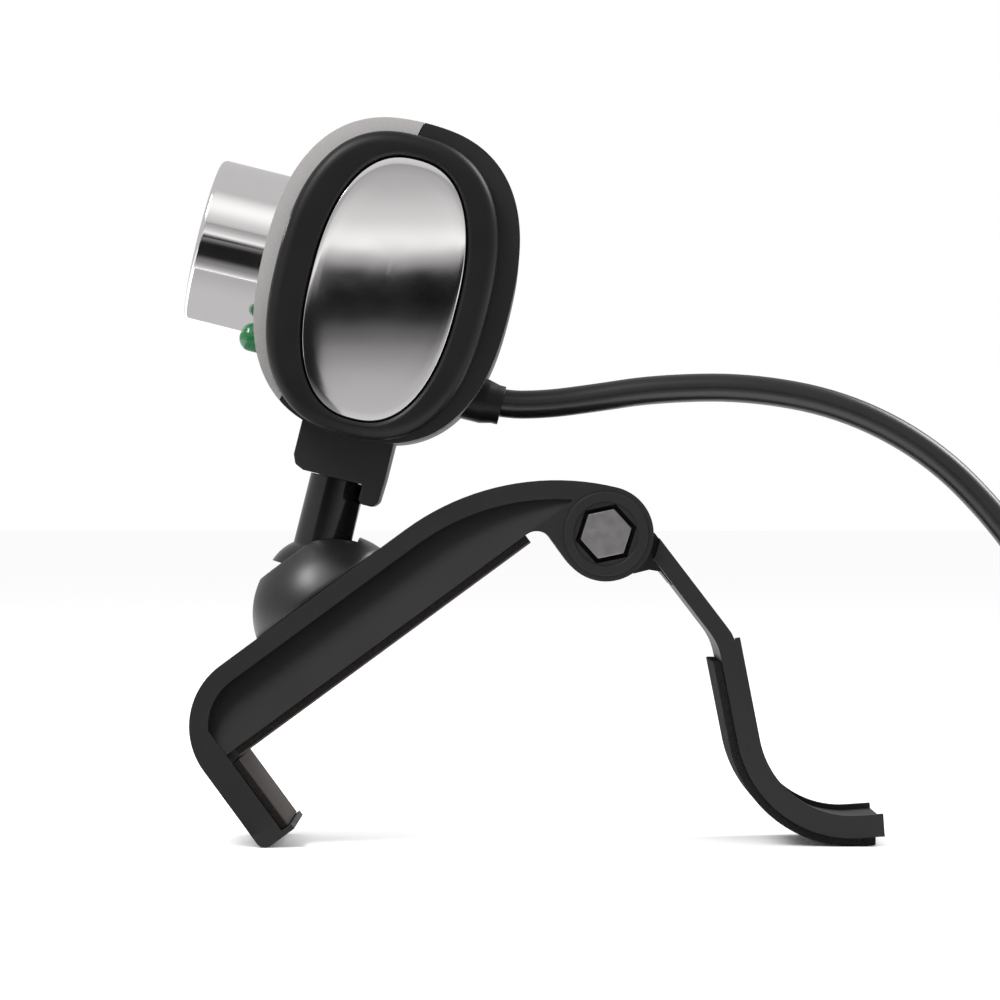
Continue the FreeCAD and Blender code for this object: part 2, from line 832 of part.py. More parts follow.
def stem_fan():
    """The stem's slot seen from the side: a fan between its two end positions."""
    rest = float(size("arm_pitch") + size("stem_lean"))
    reach = 2.0 * float(size("dome_radius"))
    side = float(size("stem_radius") + swing)
    rise = float(PIVOT_UP)
    fan = [(0.0, rise)]
    ends = (rest + float(size("tilt_back")), rest - float(size("tilt_forward")))
    for lean, sign in zip(ends, (1, -1)):
        angle = math.radians(lean)
        base = (sign * side * math.cos(angle), rise - sign * side * math.sin(angle))
        far = (base[0] + reach * math.sin(angle), base[1] + reach * math.cos(angle))
        fan += [base, far] if sign > 0 else [far, base]
    return fan


def make_turret():
    top = ARM_TOP
    dome_centre = top - size("dome_sink")
    dome_ball = ball("dome_ball", (0, 0, dome_centre), size("dome_radius"))
    dome_base = top + gap
    span = size("dome_radius") * 2
    keep = block("dome_keep", (-span, -span, dome_base), (span, span, dome_base + span))
    dome = common("dome_solid", [dome_ball, keep])
    spigot = rod("dome_spigot", (0, 0, spigot_bottom), size("spigot_radius"),
                 size("spigot_wall") + gap + PAST, "z")
    shell = fuse("dome_with_spigot", [dome, spigot])
    # a round cavity for the stem's hood, a groove for its knuckle and a slot for its shaft
    floor = dome_base + size("dome_floor")
    above = block("above_floor", (-span, -span, floor), (span, span, floor + span * 2))
    cavity_ball = ball("cavity_ball", (0, 0, PIVOT_UP), size("hood_radius") + swing)
    cavity = common("cavity", [cavity_ball, above])
    groove_half = size("knuckle_wide") + gap
    groove = rod("knuckle_groove", (-groove_half, 0, PIVOT_UP), size("knuckle_radius") + swing,
                 groove_half * 2, "x")
    mouth = rod("dome_mouth", (0, 0, PIVOT_UP), size("hood_radius") * MOUTH_SHARE, span, "z")
    side = size("stem_radius") + swing
    slot = common("stem_slot_kept", [across("stem_slot", polygon(stem_fan()), -side, side), above])
    pin_end = size("dome_radius") * PIN_BLIND_END
    pin_hole = rod("pin_hole", (-span, 0, PIVOT_UP), size("tilt_pin_radius") + seat,
                   span + pin_end, "x")
    screw = size("turret_screw_radius")
    bite = size("turret_bite")
    screw_hole = rod("turret_screw_hole", (0, 0, spigot_bottom), screw + seat, bite + gap * 2, "z")
    dome_cut = cut("turret_dome_cut", shell, [cavity, groove, mouth, slot, pin_hole, screw_hole])
    subpart(dome_cut, "turret_dome", TURRET)
    # the retaining washer under the arm's crown, and the screw that holds it
    hole = screw + gap
    low = spigot_bottom - size("retainer_wall")
    outer = size("retainer_radius")
    lathe("turret_retainer", TURRET, [
        (hole, low), (outer, low), (outer, spigot_bottom), (hole, spigot_bottom)])
    head = size("turret_screw_head")
    head_low = low - size("turret_head_high")
    lathe("turret_screw", TURRET, [
        (0.0, head_low), (head, head_low), (head, low), (screw, low),
        (screw, spigot_bottom + bite), (0.0, spigot_bottom + bite)])
    start = -size("dome_radius") * PIN_OPEN_END
    pin = rod("tilt_pin_bar", (start, 0, PIVOT_UP), size("tilt_pin_radius"),
              pin_end - gap * 2 - start, "x")
    subpart(grouped("tilt_pin_piece", [pin]), "tilt_pin", TURRET)


# ---------------------------------------------------------------- stem


# How far under the pivot the heel of the hood still reaches when the stem leans right back.
HEEL_CLEARANCE = 0.35


def make_stem():
    hood_radius = size("hood_radius")
    rim = float(hood_radius) * math.cos(math.radians(float(size("hood_spread"))))
    hood_ball = ball("hood_ball", (0, 0, 0), hood_radius)
    span = hood_radius * 2
    above = block("hood_above", (-span, -span, as_size(rim)), (span, span, span))
    # the heel is trimmed so that it clears the dome's floor when the stem leans back
    lean = float(size("arm_pitch") + size("stem_lean") + size("tilt_back"))
    tipped = FreeCAD.Rotation(TILT_AXIS, lean)
    level = float(size("pivot_rise") - gap - size("dome_floor")) - HEEL_CLEARANCE
    heel = block("heel_trim", (-span, -span, -span), (span, span, as_size(0.0)))
    heel.setExpression("Placement.Base.x", None)
    for axis in "xyz":
        heel.setExpression(f"Placement.Base.{axis}", None)
    corner = tipped.multVec(V(-float(span), -float(span), -level - float(span)))
    heel.Placement = FreeCAD.Placement(corner, tipped)
    hood = cut("hood", common("hood_cap", [hood_ball, above]), [heel])
    wide = size("knuckle_wide")
    knuckle = rod("stem_knuckle", (-wide, 0, 0), size("knuckle_radius"), wide * 2, "x")
    shaft = rod("stem_shaft", (0, 0, 0), size("stem_radius"), size("stem_reach") - gap, "z")
    shaft = cut("stem_shaft_trimmed", shaft, [heel])
    spigot = rod("pan_spigot", (0, 0, size("stem_reach") - gap - PAST),
                 size("pan_spigot_radius"), pan_shelf - size("stem_reach") + PAST, "z")
    whole = fuse("stem_fused", [hood, knuckle, shaft, spigot])
    bore_radius = size("tilt_pin_radius") + gap
    bore = rod("tilt_bore", (-wide, 0, 0), bore_radius, wide * 2, "x")
    screw = size("turret_screw_radius")
    bite = size("pan_screw_bite")
    pilot = rod("pan_pilot", (0, 0, pan_shelf - bite - PAST), screw + seat, bite + PAST * 2, "z")
    subpart(cut("stem_cut", whole, [bore, pilot]), "stem", STEM)
    # the washer that holds the head down on the stem, and its screw
    shelf = pan_shelf + gap
    cap = shelf + size("pan_washer_wall")
    ring = size("pan_washer_radius")
    lathe("pan_washer", STEM, [
        (screw + gap, shelf), (ring, shelf), (ring, cap), (screw + gap, cap)])
    head = size("pan_screw_head")
    head_top = cap + size("pan_head_high")
    lathe("pan_screw", STEM, [
        (0.0, pan_shelf - bite), (screw, pan_shelf - bite), (screw, cap), (head, cap),
        (head, head_top), (0.0, head_top)])


pan_shelf = size("head_rise") - size("pan_shelf_drop")

# ---------------------------------------------------------------- camera head

DRUM_CENTRE = (0.4, 0.8)
FRAME_CENTRE = (0.0, 0.25)
DISC_CENTRE = (0.5, 0.25)
DRUM_POWER = 2.5
DISC_POWER = 2.4
# the parting line between the bright front plate and the black rear shell
PARTING = [(0.2, 25.5), (-11.0, -21.0)]
PARTING_GAP = 0.15


def drum(name, inset, half):
    tall = float(size("drum_tall"))
    wire = oval(float(size("drum_long")), tall, DRUM_POWER, DRUM_CENTRE, -inset)
    return across(name, wire, -half, half)


def parting_half(name, front):
    """A wide slab on one side of the parting line."""
    (u1, w1), (u2, w2) = PARTING
    run = V(0, u1 - u2, w1 - w2).normalize()
    side = V(0, -run.z, run.y) * (1.0 if front else -1.0)
    middle = point((u1 + u2) / 2, (w1 + w2) / 2) + side * (PARTING_GAP / 2)
    far = 60.0
    corners = [middle + run * far, middle - run * far]
    corners += [corners[1] + side * far, corners[0] + side * far]
    wire = Part.makePolygon(corners + corners[:1])
    return across(name, wire, -size("drum_half") * 2, size("drum_half") * 2)


def shell_half(name, front):
    wall = size("shell_wall")
    outside = drum(name + "_outside", 0.0, size("drum_half"))
    inside = drum(name + "_inside", float(wall), size("drum_half") - wall)
    return common(name + "_half", [cut(name + "_box", outside, [inside]),
                                   parting_half(name + "_side", front)])


def make_front_plate():
    half = shell_half("plate", True)
    radius = size("barrel_radius") + seat
    reach = size("barrel_reach")
    hole = rod("barrel_hole", (0, -reach, size("lens_height")), radius, size("drum_long"), "y")
    led = rod("led_hole", (size("led_side"), -reach, size("led_height")),
              size("led_radius") + seat, size("drum_long"), "y")
    pilots = frame_screw_bores(FRONT_SCREWS, "plate")
    bosses = frame_screw_bosses(FRONT_SCREWS, "plate")
    whole = fuse("plate_fused", [half] + bosses)
    subpart(cut("front_plate_cut", whole, [hole, led] + pilots), "front_plate", HEAD)


# Where the side frames' screws stand, as (u, w), in the front plate and in the rear shell.
FRONT_SCREWS = [(-6.0, 13.5)]
REAR_SCREWS = [(6.5, 13.5), (6.5, -13.0), (-6.4, -13.2)]


def frame_screw_bosses(spots, name):
    """Round bosses inside the drum's end walls, for the side frames' screws."""
    bosses = []
    radius = size("frame_boss")
    deep = size("frame_screw_bite") - PAST
    inner = size("drum_half") - size("shell_wall")
    for k, (u, w) in enumerate(spots):
        bosses.append(rod(f"{name}_boss_r{k}", (inner - deep, u, w), radius, deep + PAST, "x"))
        bosses.append(rod(f"{name}_boss_l{k}", (-inner - PAST, u, w), radius, deep + PAST, "x"))
    return bosses


def frame_screw_bores(spots, name):
    bores = []
    half = size("drum_half")
    radius = size("frame_screw_radius") + seat
    deep = size("frame_screw_bite") + gap * 4
    for k, (u, w) in enumerate(spots):
        bores.append(rod(f"{name}_bore_r{k}", (half - deep, u, w), radius, deep, "x"))
        bores.append(rod(f"{name}_bore_l{k}", (-half, u, w), radius, deep, "x"))
    return bores


# Where the board's screws stand, as (x, w).
BOARD_SCREWS = [(9.2, 7.5), (9.2, -7.5), (-9.2, 7.5), (-9.2, -7.5)]


def make_rear_shell():
    half = shell_half("rear", False)
    neck = size("neck_half") + gap
    wide = size("neck_wide") + gap
    neck_top = -size("neck_top") + gap
    opening = block("neck_opening", (-wide, -neck, -size("neck_drop")), (wide, neck, neck_top))
    # blocks on the end walls carry the board's screws
    blocks = []
    board_back = size("board_front") + size("board_wall")
    inner = size("drum_half") - size("shell_wall")
    block_half = size("board_block")
    for k, (x, w) in enumerate(BOARD_SCREWS):
        inward = abs(x) - block_half
        low, high = (inward, inner + PAST) if x > 0 else (-inner - PAST, -inward)
        blocks.append(block(f"board_block_{k}", (low, board_back, w - block_half),
                            (high, board_back + size("board_block_deep"), w + block_half)))
    whole = fuse("rear_fused", [half] + blocks + frame_screw_bosses(REAR_SCREWS, "rear"))
    pilots = [
        rod(f"board_pilot_{k}", (x, board_back, w), size("board_screw_radius") + seat,
            size("board_screw_bite") + gap * 4, "y")
        for k, (x, w) in enumerate(BOARD_SCREWS)
    ]
    exit_hole = rod("cable_hole", (0, size("cable_radius") * 4, -size("exit_drop")),
                    grommet_waist, size("drum_long"), "y")
    tools = [opening, exit_hole] + pilots + frame_screw_bores(REAR_SCREWS, "rear")
    subpart(cut("rear_shell_cut", whole, tools), "rear_shell", HEAD)


grommet_waist = size("cable_radius") + size("grommet_wall")


def make_side(name, sign):
    """A soft-touch side frame and its bright disc, on one side of the drum."""
    near = size("drum_half") if sign > 0 else -size("drum_half") - size("frame_wall")
    far = near + size("frame_wall")
    long_half, tall_half = float(size("frame_long")), float(size("frame_tall"))
    ring = across(f"frame_{name}", oval(long_half, tall_half, DRUM_POWER, FRAME_CENTRE), near, far)
    floor = size("frame_floor")
    long_disc, tall_disc = float(size("disc_long")), float(size("disc_tall"))
    seat_wire = oval(long_disc, tall_disc, DISC_POWER, DISC_CENTRE, float(gap))
    low, high = (near + floor, far + PAST) if sign > 0 else (near - PAST, far - floor)
    recess = across(f"disc_seat_{name}", seat_wire, low, high)
    start = size("drum_half") if sign > 0 else -size("drum_half") - floor
    bore = size("frame_screw_radius") + seat
    bores = [
        rod(f"frame_bore_{name}_{k}", (start, u, w), bore, floor, "x")
        for k, (u, w) in enumerate(FRONT_SCREWS + REAR_SCREWS)
    ]
    outer = far if sign > 0 else near
    softened = rounded_rim(f"frame_soft_{name}", ring, float(outer), float(size("frame_round")))
    subpart(cut(f"side_frame_{name}_cut", softened, [recess] + bores), f"side_frame_{name}", HEAD)
    # the disc is a slice of a wide cylinder, so it is crowned from top to bottom
    base = near + floor if sign > 0 else far - floor
    base = base + (size("small_head_wall") + gap) * sign
    crest = outer + size("disc_proud") * sign
    disc_wire = oval(long_disc, tall_disc, DISC_POWER, DISC_CENTRE)
    ends = (base, crest) if sign > 0 else (crest, base)
    slab = across(f"disc_slab_{name}", disc_wire, *ends)
    crown = float(size("disc_crown"))
    bend = (tall_disc**2 + crown**2) / (2 * crown)
    roller = rod(f"disc_roller_{name}", (float(crest) - sign * bend, -tall_disc, DISC_CENTRE[1]),
                 bend, tall_disc * 2, "y")
    subpart(common(f"disc_{name}", [slab, roller]), f"side_disc_{name}", HEAD)


def rounded_rim(name, thing, level, radius):
    """Round the edges of a solid that lie wholly in one plane across the width."""
    doc.recompute()
    picked = []
    for number, edge in enumerate(thing.Shape.Edges, start=1):
        box = edge.BoundBox
        if abs(box.XMin - level) < 0.01 and abs(box.XMax - level) < 0.01:
            picked.append((number, radius, radius))
    softened = doc.addObject("Part::Fillet", name)
    softened.Base = thing
    softened.Edges = picked
    return softened


def make_frame_screws():
    screws = []
    half = size("drum_half")
    floor = size("frame_floor")
    bite = size("frame_screw_bite")
    cap = size("small_head_wall")
    for k, (u, w) in enumerate(FRONT_SCREWS + REAR_SCREWS):
        for name, sign in (("r", 1), ("l", -1)):
            start = half - bite if sign > 0 else -half - floor
            shank = rod(f"frame_shank_{name}{k}", (start, u, w), size("frame_screw_radius"),
                        bite + floor, "x")
            head_at = half + floor if sign > 0 else -half - floor - cap
            head = rod(f"frame_head_{name}{k}", (head_at, u, w), size("frame_screw_head"), cap, "x")
            screws.append(fuse(f"frame_screw_{name}{k}", [shank, head]))
    subpart(grouped("frame_screw_set", screws), "frame_screws", HEAD)


def make_lens():
    """Everything turned about the lens axis. Heights run forwards from the middle of the head."""
    lens_frame = moved(HEAD, 0, size("lens_height"), turn=FACE_FRONT)
    reach = size("barrel_reach")
    outer = size("barrel_radius")
    inner = outer - size("barrel_wall")
    lip = inner - size("barrel_lip")
    lip_back = reach - size("barrel_lip_wall")
    edge = size("barrel_edge")
    back = size("barrel_back")
    lathe("lens_barrel", lens_frame, [
        (inner, back), (outer, back), (outer, reach - edge), (outer - edge, reach),
        (lip, reach), (lip, lip_back), (inner, lip_back)])
    # the focus ring fills the barrel around the lens cell, with a step to a lower inner land
    ring_out = inner - gap
    ring_in = size("cell_radius") + gap
    ring_front = lip_back - gap
    ring_land = ring_front - size("barrel_wall")
    ring_back = reach - size("ring_wall") * 3
    step = ring_out - size("ring_wall") + edge
    lathe("focus_ring", lens_frame, [
        (ring_in, ring_back), (ring_out, ring_back), (ring_out, ring_front), (step, ring_front),
        (step - edge, ring_land), (ring_in, ring_land)])
    # the threaded cell that holds the two glasses
    cell = size("cell_radius")
    cell_front = reach - size("cell_set_back")
    cell_back = size("cell_back")
    glass = size("glass_radius")
    rear_glass = size("rear_glass_radius")
    seat_depth = 1.8
    throat_depth = 2.6
    lathe("lens_cell", lens_frame, [
        (rear_glass + gap, cell_back), (cell, cell_back), (cell, cell_front),
        (glass + gap, cell_front), (glass + gap, cell_front - seat_depth),
        (rear_glass + gap, cell_front - throat_depth)])
    # the front glass is a shallow dome, stepped down to its rim
    rim, shoulder, crest = 1.0, 0.35, 0.05
    lathe("front_glass", lens_frame, [
        (0.0, cell_front - seat_depth + gap), (glass, cell_front - seat_depth + gap),
        (glass, cell_front - rim), (glass * 0.65, cell_front - shoulder),
        (glass * 0.3, cell_front - crest), (0.0, cell_front)])
    rear_low = cell_back + 1.0
    lathe("rear_glass", lens_frame, [
        (0.0, rear_low), (rear_glass, rear_low), (rear_glass, rear_low + 1.6),
        (rear_glass * 0.6, rear_low + 2.2), (0.0, rear_low + 2.4)])
    mount_in = cell + gap
    mount_out = mount_in + size("mount_wall")
    board_front = -size("board_front")
    mount_front = size("mount_front")
    lathe("lens_mount", lens_frame, [
        (mount_in, board_front), (mount_out, board_front), (mount_out, mount_front),
        (mount_in, mount_front)])


def make_status_led():
    """A clear green lamp: a flange behind the front plate and a domed stem through it."""
    frame = moved(HEAD, 0, size("led_height"), x=size("led_side"), turn=FACE_FRONT)
    led = size("led_radius")
    flange = led + size("led_flange")
    tip = size("led_tip")
    flange_back = tip - led * 3.4
    flange_front = flange_back + size("led_flange")
    lathe("status_led", frame, [
        (0.0, flange_back), (flange, flange_back), (flange, flange_front), (led, flange_front),
        (led, tip - led * 0.75), (led * 0.82, tip - led * 0.36), (led * 0.45, tip - led * 0.1),
        (0.0, tip)])


# Half sizes and heights of what stands on the board, as (low corner, high corner) in x and w.
SENSOR_HALF = 4.0
SENSOR_HIGH = 0.9
CHIP = ((-4.5, -2.0), (4.5, 7.0))
CHIP_HIGH = 1.1
HEADER = ((-5.5, -11.0), (5.5, -7.6))
HEADER_HIGH = 3.2


def make_electronics():
    board = new_body("sensor_board", moved(HEAD, size("board_front"), turn=FACE_BACK))
    half = size("board_half")
    low, high = -size("board_low"), -size("board_high")
    screw = size("board_screw_radius")
    holes = [((x, -w), screw + seat) for x, w in BOARD_SCREWS]
    corners = [(-half, high), (half, high), (half, low), (-half, low)]
    padded_outline(board, "board_plate", "XY_Plane", corners, size("board_wall"), holes)
    front = size("board_front")
    back = front + size("board_wall")
    centre = size("lens_height")
    (chip_x0, chip_w0), (chip_x1, chip_w1) = CHIP
    (head_x0, head_w0), (head_x1, head_w1) = HEADER
    pieces = {
        "image_sensor": ((-SENSOR_HALF, front - SENSOR_HIGH, centre - SENSOR_HALF),
                         (SENSOR_HALF, front, centre + SENSOR_HALF)),
        "usb_chip": ((chip_x0, back, chip_w0), (chip_x1, back + CHIP_HIGH, chip_w1)),
        "cable_header": ((head_x0, back, head_w0), (head_x1, back + HEADER_HIGH, head_w1)),
    }
    for label, corners in pieces.items():
        subpart(grouped(label + "_piece", [block(label + "_block", *corners)]), label, HEAD)
    screws = []
    cap = size("small_head_wall")
    for k, (x, w) in enumerate(BOARD_SCREWS):
        shank = rod(f"board_shank_{k}", (x, front, w), screw,
                    size("board_wall") + size("board_screw_bite"), "y")
        head = rod(f"board_head_{k}", (x, front - cap, w), size("board_screw_head"), cap, "y")
        screws.append(fuse(f"board_screw_{k}", [shank, head]))
    subpart(grouped("board_screw_set", screws), "board_screws", HEAD)


# The cup around the pan screw in the neck, and how deep the stem's own relief is below it.
CUP_RADIUS = 4.9
RELIEF_DEEP = 5.0


def make_neck_socket():
    """The bracket under the drum that turns on the stem, with a small tongue at its rear."""
    neck, wide = size("neck_half"), size("neck_wide")
    bottom = -size("neck_drop")
    top = -size("neck_top")
    shelf = pan_shelf - size("head_rise")
    tongue = neck - 3.2
    corners = [
        (-neck, bottom + 2.0), (-neck + 0.6, bottom + 0.6), (-neck + 2.0, bottom),
        (tongue, bottom), (tongue, bottom - 2.4), (tongue + 0.6, bottom - 3.0),
        (neck - 0.9, bottom - 3.0), (neck - 0.2, bottom - 2.2), (neck, bottom + 1.5),
        (neck, top), (-neck, top)]
    column = doc.addObject("PartDesign::Body", "neck_column")
    sketch = new_sketch(column, "neck_sketch", "YZ_Plane")
    draw_outline(sketch, corners)
    pad = column.newObject("PartDesign::Pad", "neck_pad")
    pad.Profile = sketch
    pad.SideType = "Symmetric"
    bind(pad, "Length", wide * 2)
    # a flange inside the shell keeps the bracket in its opening
    out = size("neck_flange")
    under = top - size("neck_flange_wall")
    flange = block("neck_flange", (-wide - out, -neck - out, under), (wide + out, neck + out, top))
    whole = fuse("neck_fused", [column, flange])
    low = bottom - RELIEF_DEEP
    bore = rod("pan_bore", (0, 0, low), size("pan_spigot_radius") + gap, shelf - low + PAST, "z")
    cup = rod("pan_cup", (0, 0, shelf), CUP_RADIUS, top - shelf + PAST, "z")
    relief = rod("stem_relief", (0, 0, low), size("stem_radius") + swing, RELIEF_DEEP, "z")
    subpart(cut("neck_socket_cut", whole, [bore, cup, relief]), "neck_socket", HEAD)


def make_grommet():
    """Strain relief: a waist in the wall of the rear shell, an inner flange and a tapered nose."""
    frame = moved(HEAD, 0.0, -size("exit_drop"), turn=FACE_BACK)
    hole = size("cable_radius")
    waist = grommet_waist - seat
    flange = grommet_waist + size("grommet_wall")
    nose = hole + 0.8
    back, under, shoulder, taper, end = 10.4, 11.6, 19.2, 21.0, 22.0
    lathe("cable_grommet", frame, [
        (hole, back), (flange, back), (flange, under), (waist, under), (waist, shoulder),
        (nose, taper), (nose, end), (hole, end)])


# ---------------------------------------------------------------- cable

# Route of the free cable, from the grommet to the lowest outer turn of the coil: across, back
# and up at each corner.
CABLE_ROUTE = [
    (0.0, -13.3, 70.1), (0.0, -5.2, 68.1), (0.0, 1.9, 68.1), (0.0, 9.6, 69.1),
    (0.0, 19.5, 70.6), (0.0, 34.0, 70.9), (0.0, 49.0, 68.0), (1.0, 62.5, 60.8),
    (3.2, 73.2, 49.6), (6.2, 81.4, 36.6), (9.6, 88.6, 23.6), (13.4, 96.5, 11.7),
    (16.8, 105.3, 4.9), (18.2, 113.3, 2.35), (17.9, 120.5, 2.3), (17.25, 126.0, 2.3)]
# Route of the tail, off the top outer turn and across the coil: across and back from the
# middle of the coil, and up. The plug lies on the coil.
TAIL_ROUTE = [
    (22.4, 16.0, 15.75), (15.45, 23.1, 16.5), (5.2, 26.4, 18.4), (-5.5, 24.75, 20.6),
    (-14.2, 18.4, 21.8), (-19.1, 8.8, 22.05), (-19.1, -1.5, 22.05)]


def largest_radii(corners):
    """The arc at each corner: 0.45 of its shorter run, over the tangent of half its turn."""
    radii = []
    for before, corner, after in zip(corners, corners[1:], corners[2:]):
        shorter = min((corner - before).Length, (after - corner).Length)
        half_turn = (corner - before).getAngle(after - corner) / 2
        radii.append(0.45 * shorter / math.tan(half_turn))
    return radii


def swept_tube(name, corners, radius):
    radii = largest_radii(corners)
    spine = Part.Wire(rounded_path(corners, radii))
    start = corners[0]
    direction = corners[1] - corners[0]
    ring = Part.Wire(Part.Circle(start, direction, radius).toShape())
    tube = doc.addObject("Part::Feature", name)
    tube.Shape = spine.makePipeShell([ring], True, False)
    expected = math.pi * radius**2 * spine.Length
    print(name, "length", round(spine.Length, 1), "volume ratio",
          round(tube.Shape.Volume / expected, 4), "radii", [round(r, 1) for r in radii])
    return tube


def make_cable():
    radius = float(size("cable_radius"))
    corners = [V(*corner) for corner in CABLE_ROUTE]
    subpart(swept_tube("usb_cable_tube", corners, radius), "usb_cable", WORLD)
    # the coil: turns side by side in layers, seen as one solid of their outer shape
    centre = V(-float(size("coil_side")), float(size("coil_set_back")), 0)
    inner = size("coil_mean") - size("cable_radius") * size("coil_turns_across")
    outer = size("coil_mean") + size("cable_radius") * size("coil_turns_across")
    top = size("cable_radius") * 2 * size("coil_layers")
    soft = size("cable_radius") * 0.55
    coil_frame = FreeCAD.Placement(centre, FreeCAD.Rotation())
    lathe("cable_coil", coil_frame, [
        (inner, soft), (inner + soft, 0.0), (outer - soft, 0.0), (outer, soft),
        (outer, top - soft), (outer - soft, top), (inner + soft, top), (inner, top - soft)])
    print("coil length", round(2 * math.pi * float(size("coil_mean")) *
                               float(size("coil_turns_across") * size("coil_layers")), 1))
    # the tail from the coil to the plug, lying on the coil
    tail = [centre + V(*corner) for corner in TAIL_ROUTE]
    subpart(swept_tube("cable_tail_tube", tail, radius), "cable_tail", WORLD)
    make_plug(tail[-1])


def make_plug(end):
    """The plug on the cable's end: strain relief, moulded grip, metal shell and its tongue."""
    frame = FreeCAD.Placement(end, FACE_FRONT)
    radius = size("cable_radius")
    overlap = 6.0
    start = size("relief_long") - overlap
    relief_in, relief_out = radius + seat, radius + size("relief_wall")
    lathe("plug_relief", frame, [
        (relief_in, -overlap), (radius + size("relief_wall") / 2, -overlap),
        (relief_out, start), (relief_in, start)])
    half_high, half_wide = size("plug_high") / 2, size("plug_wide") / 2
    bevel = 1.2
    grip = new_body("plug_grip", frame)
    sketch = raised_sketch(grip, "plug_sketch", start)
    draw_outline(sketch, [
        (-half_wide + bevel, -half_high), (half_wide - bevel, -half_high),
        (half_wide, -half_high + bevel), (half_wide, half_high - bevel),
        (half_wide - bevel, half_high), (-half_wide + bevel, half_high),
        (-half_wide, half_high - bevel), (-half_wide, -half_high + bevel)])
    pad_from(grip, "plug_pad", sketch, size("plug_long"))
    face = start + size("plug_long")
    wall = size("connector_wall")
    tip = face + size("connector_long")
    out_wide, out_high = size("connector_wide") / 2, size("connector_high") / 2
    shell_out = block("connector_out", (-out_wide, -out_high, face), (out_wide, out_high, tip))
    shell_in = block("connector_in", (-out_wide + wall, -out_high + wall, face),
                     (out_wide - wall, out_high - wall, tip + PAST))
    subpart(cut("plug_shell_cut", shell_out, [shell_in]), "plug_shell", frame)
    tongue = block("tongue_block", (-out_wide + wall + seat, gap, face),
                   (out_wide - wall - seat, out_high - wall - seat, tip - PAST))
    subpart(grouped("plug_tongue_piece", [tongue]), "plug_tongue", frame)


# ---------------------------------------------------------------- build and write

make_clip_arm()
make_arm_cover()
make_cover_screws()
make_clip_pads()
make_hinge_hardware()
make_rear_leg()
make_leg_pad()
make_turret()
make_stem()
make_front_plate()
make_rear_shell()
make_side("right", 1)
make_side("left", -1)
make_frame_screws()
make_lens()
make_status_led()
make_electronics()
make_neck_socket()
make_grommet()
make_cable()

doc.recompute()
for thing in doc.Objects:
    faults = {"Invalid", "Error"} & set(thing.State)
    if faults:
        raise RuntimeError(f"{thing.Name} ({thing.Label}) has failed: {thing.State}")
for thing in subparts:
    if thing.Shape.isNull() or not thing.Shape.isValid():
        raise RuntimeError(f"{thing.Label} has no valid shape")
os.makedirs("parts", exist_ok=True)
for thing in subparts:
    thing.Shape.exportStep(f"parts/{thing.Label}.step")
    box = thing.Shape.BoundBox
    print(f"{thing.Label:18s} solids {len(thing.Shape.Solids)} volume {thing.Shape.Volume:9.1f} "
          f"x {box.XMin:7.2f} {box.XMax:7.2f} y {box.YMin:7.2f} {box.YMax:7.2f} "
          f"z {box.ZMin:7.2f} {box.ZMax:7.2f}")
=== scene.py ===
import json
import math

import bmesh
import bpy
from mathutils import Matrix, Vector


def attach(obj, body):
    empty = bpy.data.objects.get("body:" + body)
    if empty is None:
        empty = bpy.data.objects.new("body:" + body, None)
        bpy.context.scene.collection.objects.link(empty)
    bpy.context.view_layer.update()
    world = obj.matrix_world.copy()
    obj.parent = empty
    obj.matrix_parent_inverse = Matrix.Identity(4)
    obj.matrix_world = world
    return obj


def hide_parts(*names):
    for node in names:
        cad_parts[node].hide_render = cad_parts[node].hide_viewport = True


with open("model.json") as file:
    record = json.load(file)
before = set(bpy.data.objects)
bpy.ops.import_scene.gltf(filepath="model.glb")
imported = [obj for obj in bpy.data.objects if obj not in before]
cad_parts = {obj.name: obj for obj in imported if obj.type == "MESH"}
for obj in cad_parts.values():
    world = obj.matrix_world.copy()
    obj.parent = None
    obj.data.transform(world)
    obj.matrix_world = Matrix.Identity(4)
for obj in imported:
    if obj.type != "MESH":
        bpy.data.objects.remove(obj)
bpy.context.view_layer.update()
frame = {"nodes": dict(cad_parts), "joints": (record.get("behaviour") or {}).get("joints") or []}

# A small USB camera on a hinged screen clip. Lengths below are in millimetres and are made
# metres once, when a piece is placed.
MM = 0.001
JOINTS = {joint["name"]: joint for joint in frame["joints"]}


def upright(origin, up):
    """The frame of a moving group: X across the clip, Z along its own up, from mm to metres."""
    up = Vector(up).normalized()
    across = Vector((1.0, 0.0, 0.0))
    along = up.cross(across)
    turn = Matrix((across, along, up)).transposed().to_4x4()
    return Matrix.Translation(Vector(origin)) @ turn @ Matrix.Scale(MM, 4)


HINGE = Vector(JOINTS["leg_hinge"]["pos_m"])
ARM_UP = Vector(JOINTS["turret_swivel"]["axis"])
ARM_ALONG = ARM_UP.cross(Vector((1.0, 0.0, 0.0)))
HINGE_REACH = 66.9
HINGE_DROP = 7.1
ARM = upright(HINGE - ARM_ALONG * HINGE_REACH * MM + ARM_UP * HINGE_DROP * MM, ARM_UP)
HINGE_FRAME = ARM @ Matrix.Translation((0.0, HINGE_REACH, -HINGE_DROP))
HEAD = upright(JOINTS["head_pan"]["pos_m"], JOINTS["head_pan"]["axis"])
WORLD = Matrix.Scale(MM, 4)

# ---------------------------------------------------------------- camera

VIEW_DISTANCE = 600.0
VIEW_BACK = -5.0
VIEW_HEIGHT = 53.2
VIEW_LENS = 138.2


